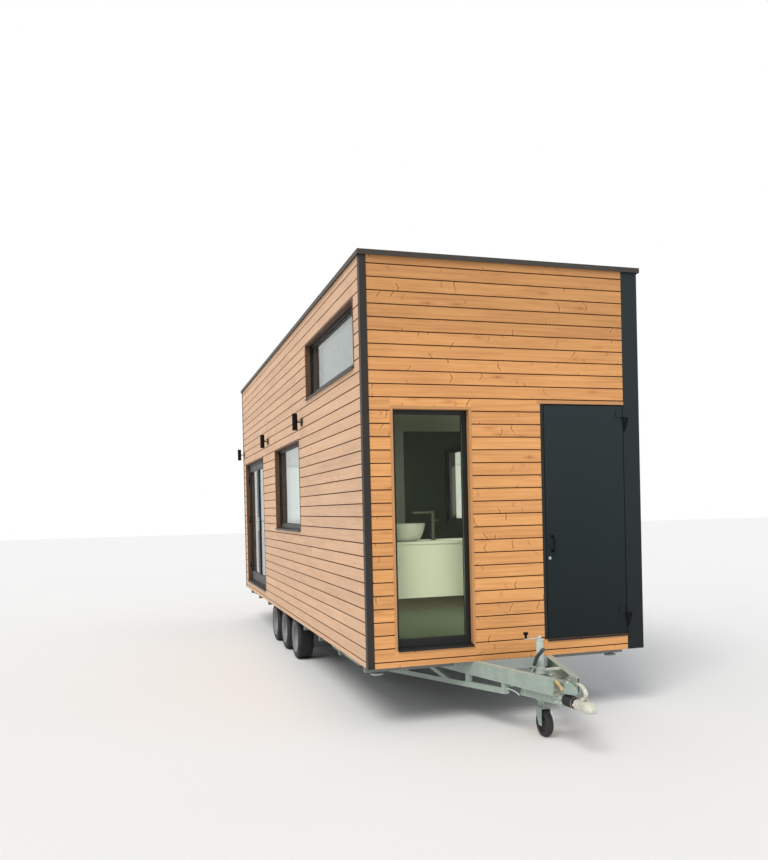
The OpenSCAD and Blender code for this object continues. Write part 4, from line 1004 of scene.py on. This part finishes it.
def lug(y, z, r, foot, foot_z, count=18):
    """A round lug on a straight foot."""
    arc = [(y + r * math.cos(math.pi * k / count), z + r * math.sin(math.pi * k / count))
           for k in range(count + 1)]
    return [(y + foot, foot_z)] + arc + [(y - foot, foot_z)]


def forward_turn(bm, profile, y, segments):
    """Turns an outline about the hitch's axis, forwards from y."""
    revolve(bm, profile, mm(CENTRE_X, y, AXIS_Z), -Y, segments)


SIDE_PLATE = ((-900, -120), (-500, -120), (-496, -149), (-478, -180), (-486, -192), (-892, -192),
              (-900, -184))
LEFT_CHEEK = ((-882, -160), (-882, -112), (-930, -66), (-952, -16), (-966, 0), (-980, 8), (-1010, 7),
              (-1040, 2), (-1080, -9), (-1120, -24), (-1138, -40), (-1138, -70), (-1060, -84), (-1000, -92),
              (-899, -104), (-899, -160))
RIGHT_CHEEK = ((-880, -160), (-880, -128), (-832, -110), (-818, -30), (-822, -14), (-836, 0), (-856, 9),
               (-900, 14), (-962, 18), (-974, 14), (-978, 4), (-978, -100), (-899, -104), (-899, -160))
SHAFT_LUG = ((-398, -120), (-362, -120), (-362, -140), (-370, -152), (-390, -152), (-398, -140))
STAY = ((-356, -176), (-374, -163), (-394, -159), (-440, -166), (-483, -174), (-505, -190))

bm = bmesh.new()
for side in (strip_x, lambda depth, y: mirrored(strip_x(depth, y))):
    skin(bm, [[bm.verts.new(mm(side(depth, y), y, z)) for y, z in SIDE_PLATE] for depth in (49, 55)])
for y in (HOUSING_FRONT, HOUSING_BACK):
    x = strip_x(54, y)
    box(bm, mm(x, y, -205), mm(mirrored(x), y + 10, BEAM_BOTTOM))
for y, z in (SPRING_LOW, SPRING_HIGH):
    upright_plate(bm, lug(y, z, 10, 10, AXIS_Z + 22), CENTRE_X - 35, CENTRE_X - 29)
shaft_x = strip_x(55, BRAKE_Y) - 3
for x in (shaft_x, mirrored(shaft_x) - 10):
    upright_plate(bm, SHAFT_LUG, x, x + 10)
upright_plate(bm, LEFT_CHEEK, CENTRE_X - 48, CENTRE_X - 44)
upright_plate(bm, RIGHT_CHEEK, CENTRE_X + 42, CENTRE_X + 48)
soften(finish_piece("overrun_casing", bm, "zinc", replaces=("overrun_housing",)), 1.1)

bm = bmesh.new()
forward_turn(bm, collar(33, 42, 0, 235), HOUSING_BACK, 56)
rod(bm, mm(shaft_x, BRAKE_Y, BRAKE_Z), mm(mirrored(shaft_x), BRAKE_Y, BRAKE_Z), 8, 24, 1)
for x, way in ((shaft_x - 6, 1), (mirrored(shaft_x) + 6, -1)):
    rod(bm, mm(x, BRAKE_Y, BRAKE_Z), mm(x + 5 * way, BRAKE_Y, BRAKE_Z), 13, 6)
for way in (-1, 1):
    for y, z in ((-868, -138), (-868, -174), (-812, -156), (-548, -138), (-548, -174)):
        x = strip_x(49, y)
        turn = Vector((way * math.cos(SLOPE), -math.sin(SLOPE), 0))
        bolt(bm, mm(x if way < 0 else mirrored(x), y, z), turn, 9.5, 7.5)
for z in (-140, -176):
    for x in (CENTRE_X - 52, CENTRE_X + 52):
        bolt(bm, mm(x, HOUSING_FRONT, z), -Y, 8, 6)
for x, y, z in ((-48, -1000, -8), (-48, -960, -66), (42, -870, -20), (42, -950, -70)):
    bolt(bm, mm(CENTRE_X + x, y, z), -X, 7, 6)
finish_piece("overrun_sleeve_and_bolts", bm, "zinc_bright", smooth=True)

bm = bmesh.new()
stay = smooth_path([mm(strip_x(25, y), y, z) for y, z in STAY], 4)
sweep(bm, stay, round_section(5, 12), X)
finish_piece("drawbar_stay_rod", bm, "zinc_bright", smooth=True)

# Spring cylinder with its rod and eyes
low, high = mm(SPRING_X, *SPRING_LOW), mm(SPRING_X, *SPRING_HIGH)
run = (high - low).normalized()
full = (high - low).length
cap = full * SPRING_SHARE * 1000
bm = bmesh.new()
revolve(bm, [(TIP, 12), (11, 12), (14.6, 16), (15, 19), (15, cap), (14, cap + 3),
             (14, cap + 8), (11, cap + 11), (TIP, cap + 11)], low, run, 36)
finish_piece("brake_spring_cylinder", bm, "yellow", "house", ("brake_spring",), True)
bm = bmesh.new()
rod(bm, low + run * full * (SPRING_SHARE - 0.02), high, 5.2, 18)
for place in (low, high):
    revolve(bm, collar(4.5, 9.5, -6, 6, 0.7), place, X, 28)
    rod(bm, place - offset(16, 0, 0), place + offset(10, 0, 0), 4.2, 14, 0.6)
rod(bm, low, low + run * 0.014, 7, 18)
finish_piece("brake_spring_rod", bm, "pink_zinc", smooth=True)

# Bellows
FOLDS, FOLD_STEPS, FOLD_R, FOLD_L = 7, 8, 41.5, 100
folds = []
for k in range(FOLDS * FOLD_STEPS + 1):
    t = k / (FOLDS * FOLD_STEPS)
    folds.append((FOLD_R + 4 * math.cos(math.tau * FOLDS * t + math.pi), FOLD_L * t))
neck = [(42, 102), (43.2, 106), (43.2, 115), (41.8, 118), (41.2, 150), (40.2, 156), (39.8, 156),
        (39.8, 99.5), (31, 99.5)]
bm = bmesh.new()
forward_turn(bm, [(31, 0.5), *folds, *neck], HOUSING_FRONT, 64)
finish_piece("coupling_bellows_folds", bm, "rubber", "house", ("coupling_bellows",), True)
bm = bmesh.new()
for y in (-903.5, -1022.0):
    forward_turn(bm, [(40.5, 0), (43.2, 0), (43.2, 5), (40.5, 5)], y, 56)
finish_piece("bellows_clamps", bm, "bright", smooth=True)

# Coupling: zinc draw tube and a cast head that swells over the ball
bm = bmesh.new()
forward_turn(bm, collar(24, 30, 0, 305), -705, 48)
finish_piece("coupling_draw_tube", bm, "zinc", replaces=("coupling_head",), smooth=True)

# The head's sections from back to front: y, bottom, top, half width and how square each is
HEAD = ((-1000, -196, -114, 39.0, 2.0), (-1003, -197, -113, 40.0, 2.0), (-1040, -195, -115, 38.5, 2.0),
        (-1075, -193, -117, 36.0, 2.1), (-1100, -193, -117, 33.0, 2.4), (-1130, -194, -115, 34.0, 2.7),
        (-1150, -194, -114, 36.0, 2.8), (-1170, -194, -112, 39.0, 2.8), (-1188, -193, -107, 42.0, 2.8),
        (-1203, -192, -104, 45.0, 2.7), (-1221, -191, -107, 46.8, 2.6), (-1240, -188, -114, 47.0, 2.5),
        (-1258, -184, -123, 43.0, 2.4), (-1272, -178, -133, 34.0, 2.3), (-1280, -171, -141, 23.0, 2.1),
        (-1283.5, -163, -150, 10.0, 2.0))
HEAD_POINTS = 40
BALL_Y, BALL_Z, BALL_R = -1237, -163, 25.5


def squared(value, power):
    return math.copysign(abs(value) ** (2 / power), value)


bm = bmesh.new()
rings = []
for y, z0, z1, wide, power in HEAD:
    ring = []
    for k in range(HEAD_POINTS):
        a = math.tau * k / HEAD_POINTS
        ring.append(bm.verts.new(mm(CENTRE_X + wide * squared(math.cos(a), power), y,
                                    (z0 + z1) / 2 + (z1 - z0) / 2 * squared(math.sin(a), power))))
    rings.append(ring)
skin(bm, rings)
head = finish_piece("coupling_cast_head", bm, "coupling", replaces=("coupling_head",))
apply_modifier(head, "round", "SUBSURF", levels=2, render_levels=2)
cut = bmesh.new()
dome = [(BALL_R * math.cos(a), BALL_R * math.sin(a)) for a in map(math.radians, range(80, -1, -10))]
revolve(cut, [(TIP, BALL_R), *dome, (BALL_R, -60), (TIP, -60)], mm(CENTRE_X, BALL_Y, BALL_Z), Z, 40)
carve(head, cut)
cut = bmesh.new()
for y, z, r, segments in ((-1162, -151, 7.5, 24), (-1108, -160, 4.5, 20)):
    revolve(cut, peg(r, 200), mm(CENTRE_X - 100, y, z), X, segments)
carve(head, cut)
smooth_by_angle(head)

bm = bmesh.new()
for x in (CENTRE_X - 23, CENTRE_X + 17.3):
    upright_plate(bm, lug(PIVOT_Y, PIVOT_Z, 12, 22, AXIS_Z + 40), x, x + 5.7)
for way in (-1, 1):
    bolt(bm, mm(CENTRE_X + way * 37.5, -1068, AXIS_Z), X * way, 10, 9)
soften(finish_piece("coupling_lugs_and_bolts", bm, "coupling"), 0.8)
bm = bmesh.new()
rod(bm, mm(CENTRE_X - 25, PIVOT_Y, PIVOT_Z), mm(CENTRE_X + 25, PIVOT_Y, PIVOT_Z), 5, 20, 0.8)
finish_piece("coupling_handle_pin", bm, "bright", smooth=True)

# Release handle, a curved strap with turned edges
STRAP = ((-1156, -92), (-1170, -78), (-1175, -60), (-1164, -40), (-1140, -22), (-1108, -9), (-1072, -4),
         (-1056, -5))
bm = bmesh.new()
revolve(bm, collar(5.3, 11, -17, 17, 0.6, 0.6), mm(CENTRE_X, PIVOT_Y, PIVOT_Z), X, 36)
sweep(bm, smooth_path([mm(CENTRE_X, y, z) for y, z in STRAP], 6),
      lambda t: soft_section(28, 10 + 7 * math.sin(math.pi * min(1, t * 1.15)), 3.5), X)
finish_piece("coupling_release_handle", bm, "coupling", "coupling_handle",
             ("coupling_handle",), True)

# Handbrake lever: plated stem on a bored hub, and a dark grip bent forwards
STEM = ((-391, -119), (-440, -52), (-480, 2), (-524, 64))
GRIP = ((-506, 38), (-532, 76), (-560, 112), (-612, 150), (-668, 189))
GRIP_RIBS, GRIP_END = 11, 0.96


def grip_section(t):
    """A ribbed round, drawn in at the grip's end."""
    r = 14.6 + 0.9 * math.cos(t * math.tau * GRIP_RIBS)
    if t > GRIP_END:
        r *= math.sqrt(max(0.12, 1 - ((t - GRIP_END) / (1 - GRIP_END)) ** 2))
    return round_section(r, 24)


bm = bmesh.new()
revolve(bm, collar(8.3, 20, -10, 10, 0.8, 0.8), mm(LEVER_X, BRAKE_Y, BRAKE_Z), X, 40)
sweep(bm, smooth_path([mm(LEVER_X, y, z) for y, z in STEM], 5), soft_section(10, 24, 2.2), X)
finish_piece("handbrake_stem", bm, "zinc_bright", "handbrake_lever", ("handbrake_lever",), True)
bm = bmesh.new()
sweep(bm, smooth_path([mm(LEVER_X, y, z) for y, z in GRIP], 16), grip_section, X)
finish_piece("handbrake_grip", bm, "grip", "handbrake_lever", (), True)

# Jockey wheel's crank with a black knob, and clamps on its tube
lo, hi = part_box("jockey_crank")
JOCKEY = mm(CENTRE_X, JOCKEY_Y, 0)
arm_z = lo.z + 0.023
knob = Vector((lo.x + 0.014, JOCKEY.y, arm_z))
bm = bmesh.new()
cap = [(TIP, 0), (8, 0), (8, 18), (13.5, 18.5), (14, 19.5), (14, 36), (11.5, 40), (TIP, 40.5)]
revolve(bm, cap, Vector((JOCKEY.x, JOCKEY.y, lo.z)), Z, 36)
arm = [Vector((x, JOCKEY.y, arm_z)) for x in (JOCKEY.x + 0.004, (JOCKEY.x + knob.x) / 2, knob.x - 0.009)]
sweep(bm, arm, soft_section(19, 8, 2.5), Y)
revolve(bm, peg(5.5, 12), knob, Z, 20)
finish_piece("jockey_crank_arm", bm, "zinc_bright", "jockey_crank", ("jockey_crank",), True)
bm = bmesh.new()
revolve(bm, [(TIP, 5), (10, 5), (10.6, 8), (9.8, 24), (12, 31), (18, 36), (20, 41), (19.8, 49),
             (17, 53), (9, 54.8), (TIP, 55)], knob, Z, 36)
finish_piece("jockey_knob", bm, "black", "jockey_crank", (), True)
bm = bmesh.new()
tube_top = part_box("jockey_tube")[1].z
for r, z in ((30, tube_top - 0.0115), (37.8, mm(0, 0, -36).z), (37.8, mm(0, 0, -2).z)):
    revolve(bm, collar(r, r + 3.4, 0, 10, 0.8), Vector((JOCKEY.x, JOCKEY.y, z)), Z, 48)
finish_piece("jockey_tube_rings", bm, "zinc_bright", smooth=True)

# Corner jacks with threaded spindles and round feet
JACK_FOOT = [(TIP, 6), (36, 6), (36, 1), (37, 0), (51, 0), (52, 1), (52, 10), (46, 14.5), (30, 16),
             (TIP, 16)]
THREAD_FROM, THREADS, THREAD_DEPTH = 16, 34, 1.4
for node in [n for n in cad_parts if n.startswith("jack_")]:
    lo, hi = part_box(node)
    height = (hi.z - lo.z) * 1000
    bm = bmesh.new()
    revolve(bm, JACK_FOOT, centre_at(lo, hi, lo.z), Z, 56)
    thread = [(TIP, 14)]
    step = (height - THREAD_FROM - 2) / THREADS
    for k in range(THREADS):
        z = THREAD_FROM + step * k
        thread += [(SPINDLE_R - THREAD_DEPTH, z), (SPINDLE_R, z + 0.35 * step), (SPINDLE_R, z + 0.65 * step)]
    thread += [(SPINDLE_R - THREAD_DEPTH, height - 1), (TIP, height)]
    revolve(bm, thread, centre_at(lo, hi, lo.z), Z, 28)
    finish_piece(node + "_screw", bm, "zinc_bright", node, (node,), True)

# Handles and lamps
lo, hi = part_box("utility_door_handle")
top = Vector((hi.x - 0.008, hi.y, hi.z))
BOW_H = 147
bow = path_from(top, ((0, 0, 10 - BOW_H), (0, -18, 9 - BOW_H), (0, -31, 14 - BOW_H),
                      (0, -34.5, 30 - BOW_H), (0, -34.5, -BOW_H / 2), (0, -34.5, -30),
                      (0, -31, -14), (0, -18, -9), (0, 0, -10)), 7)
bm = bmesh.new()
sweep(bm, bow, round_section(7.2, 18), X)
rose = [(TIP, 0), (12.5, 0), (12.5, 2.5), (11, 4), (TIP, 4)]
for z in (10 - BOW_H, -10):
    revolve(bm, rose, top + offset(0, 0, z), -Y, 28)
finish_piece("utility_bow_handle", bm, "black", "utility_door", ("utility_door_handle",), True)
bm = bmesh.new()
lock = Vector((lo.x + 0.014, hi.y, lo.z + 0.014))
revolve(bm, [(TIP, 0), (14, 0), (14, 6), (12.5, 8.5), (8.5, 9.5), (8, 8), (TIP, 8)], lock, -Y, 36)
box(bm, lock + offset(-0.9, -8.8, -4.5), lock + offset(0.9, -7.8, 4.5))
finish_piece("utility_lock", bm, "bright", "utility_door", (), True)

lo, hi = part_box("entrance_handle")
spindle = Vector((hi.x, hi.y - 0.016, hi.z - 0.06))
PLATE_T = 8
bm = bmesh.new()
plate = soft_section(32, 210, 7)
skin(bm, [[bm.verts.new(spindle + offset(-d, a * k, b * k - 45)) for a, b in plate]
          for d, k in ((0.0, 1.0), (PLATE_T - 1.5, 1.0), (PLATE_T, 0.97))])
reach = (lo.x - hi.x) * 1000
lever = path_from(spindle, ((-6, 0, 0), (-30, 0, 0), (-45, -3, 0), (reach + 9.5, -16, 0),
                            (reach + 9.2, -60, 0), (reach + 9.5, -112, -1),
                            (reach + 12, -120, -1)), 7)
sweep(bm, lever, lambda t: round_section(8.8 - 1.2 * t, 18), Z)
neck = [(TIP, 0), (13, 0), (13, 6), (11.5, 8), (TIP, 8)]
keyhole = [(TIP, 0), (9.5, 0), (9.5, 3), (TIP, 3.5)]
for outline, z in ((neck, 0.0), (keyhole, -90)):
    revolve(bm, outline, spindle + offset(-PLATE_T, 0, z), -X, 28)
finish_piece("entrance_lever_handle", bm, "bright", "entrance_leaf_near",
             ("entrance_handle",), True)

lenses, collars = bmesh.new(), bmesh.new()
for lo, hi in islands("wall_lamps"):
    for z, way in ((lo.z, -1), (hi.z, 1)):
        end = Vector((lo.x + 0.029, (lo.y + hi.y) / 2, z))
        revolve(lenses, [(TIP, 0), (22.5, 0), (22.5, 0.8), (TIP, 1.4)], end, Z * way, 36)
        revolve(collars, [(22.5, 0), (28.5, 0), (28, 1.4), (23.5, 2)], end, Z * way, 36)
finish_piece("lamp_lenses", lenses, "lens", smooth=True)
finish_piece("lamp_collars", collars, "black", smooth=True)

# Materials of the CAD nodes; what isn't named is a wheel

LOOKS = {
    "floor": "floors",
    "wall": "front_wall left_wall left_wall_pier right_wall rear_wall door_headers",
    "roof": "roof_deck",
    "coping": "roof_coping",
    "side_wood_pale_lit": "timber_cladding",
    "dark_sheet": "metal_cladding",
    "trim": "corner_trims",
    "lining_wood": "window_linings",
    "frame": "sill_flashings window_frames door_frames entrance_leaf_near entrance_leaf_far",
    "glass": "window_glass entrance_glass_near entrance_glass_far",
    "utility": "utility_door",
    "black": "utility_door_handle door_hinges wall_lamps",
    "bright": "entrance_handle basin_tap",
    "vanity": "vanity",
    "ceramic": "basin",
    "zinc": "trailer_beams truss_frames overrun_housing jockey_leg jockey_fork",
    "zinc_shaded": "cross_members axles",
    "zinc_bright": "jockey_tube jockey_crank jack_front_left jack_front_right jack_rear_left jack_rear_right",
    "rubber": "coupling_bellows jockey_wheel",
    "coupling": "coupling_head coupling_handle",
    "grip": "handbrake_lever",
    "yellow": "brake_spring",
}
look_of = {node: look for look, nodes in LOOKS.items() for node in nodes.split()}
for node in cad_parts:
    dress(node, look_of.get(node, "tyre"))

# Floor, light and camera

FLOOR_HALF = 60.0
bm = bmesh.new()
corners = ((-1, -1, 0), (1, -1, 0), (1, 1, 0), (-1, 1, 0))
bm.faces.new([bm.verts.new(Vector(p) * FLOOR_HALF) for p in corners])
floor = new_object("floor_plane", bm)
floor.data.materials.append(M["paper"])

scene = bpy.context.scene
scene.view_settings.view_transform = "Standard"
world = bpy.data.worlds.new("studio")
scene.world = world
world.use_nodes = True
world.node_tree.nodes.clear()
g = Graph(world)
# The sky lights the house, and what is seen or mirrored of it is white
sky = g.node("Background", {"Color": (0.95, 0.97, 1.0), "Strength": 0.62})[0]
white = g.node("Background", {"Color": (1.0, 1.0, 1.0), "Strength": 1.0})[0]
path = g.node("LightPath")
seen = g.math("MAXIMUM", path["Is Camera Ray"], path["Is Transmission Ray"])
seen = g.math("MAXIMUM", seen, path["Is Glossy Ray"])
g.node("OutputWorld", {"Surface": g.node("MixShader", {0: seen, 1: sky, 2: white})[0]})


def light(name, kind, energy, colour):
    data = bpy.data.lights.new(name, kind)
    data.energy = energy
    data.color = colour
    lamp = bpy.data.objects.new(name, data)
    scene.collection.objects.link(lamp)
    return lamp


sun = light("key", "SUN", 1.7, (1.0, 0.97, 0.93))
sun.data.angle = math.radians(28)
sun.rotation_euler = Vector((0.55, 0.62, -0.95)).to_track_quat("-Z", "Y").to_euler()

# A soft lamp in the bathroom, which the camera doesn't see
room = light("room", "AREA", 14.0, (0.98, 1.0, 0.92))
room.data.shape = "RECTANGLE"
room.data.size, room.data.size_y = 0.7, 0.9
room.location = at(1.45, 1.45, 1.95)
room.visible_camera = False
room.visible_glossy = False

# The camera stands where the photographer stood
CAMERA_AT = at(-1.7217, -6.3082, 1.2926)
YAW, PITCH, ROLL = 0.29, -0.0068, 0.023
FOCAL_PX, CENTRE_V = 815.13, 514.16
HEIGHT_PX, SENSOR = 860, 36.0
forward = Vector((math.sin(YAW) * math.cos(PITCH), math.cos(YAW) * math.cos(PITCH), math.sin(PITCH)))
level = Vector((math.cos(YAW), -math.sin(YAW), 0))
down = forward.cross(level)
right = level * math.cos(ROLL) + down * math.sin(ROLL)
below = down * math.cos(ROLL) - level * math.sin(ROLL)
cam_data = bpy.data.cameras.new("camera")
cam_data.sensor_width = SENSOR
cam_data.sensor_fit = "AUTO"
cam_data.lens = FOCAL_PX * SENSOR / HEIGHT_PX
cam_data.shift_y = (CENTRE_V - HEIGHT_PX / 2) / HEIGHT_PX
camera = bpy.data.objects.new("camera", cam_data)
scene.collection.objects.link(camera)
turn = Matrix((right, -below, -forward)).transposed().to_4x4()
camera.matrix_world = Matrix.Translation(CAMERA_AT) @ turn
scene.camera = camera
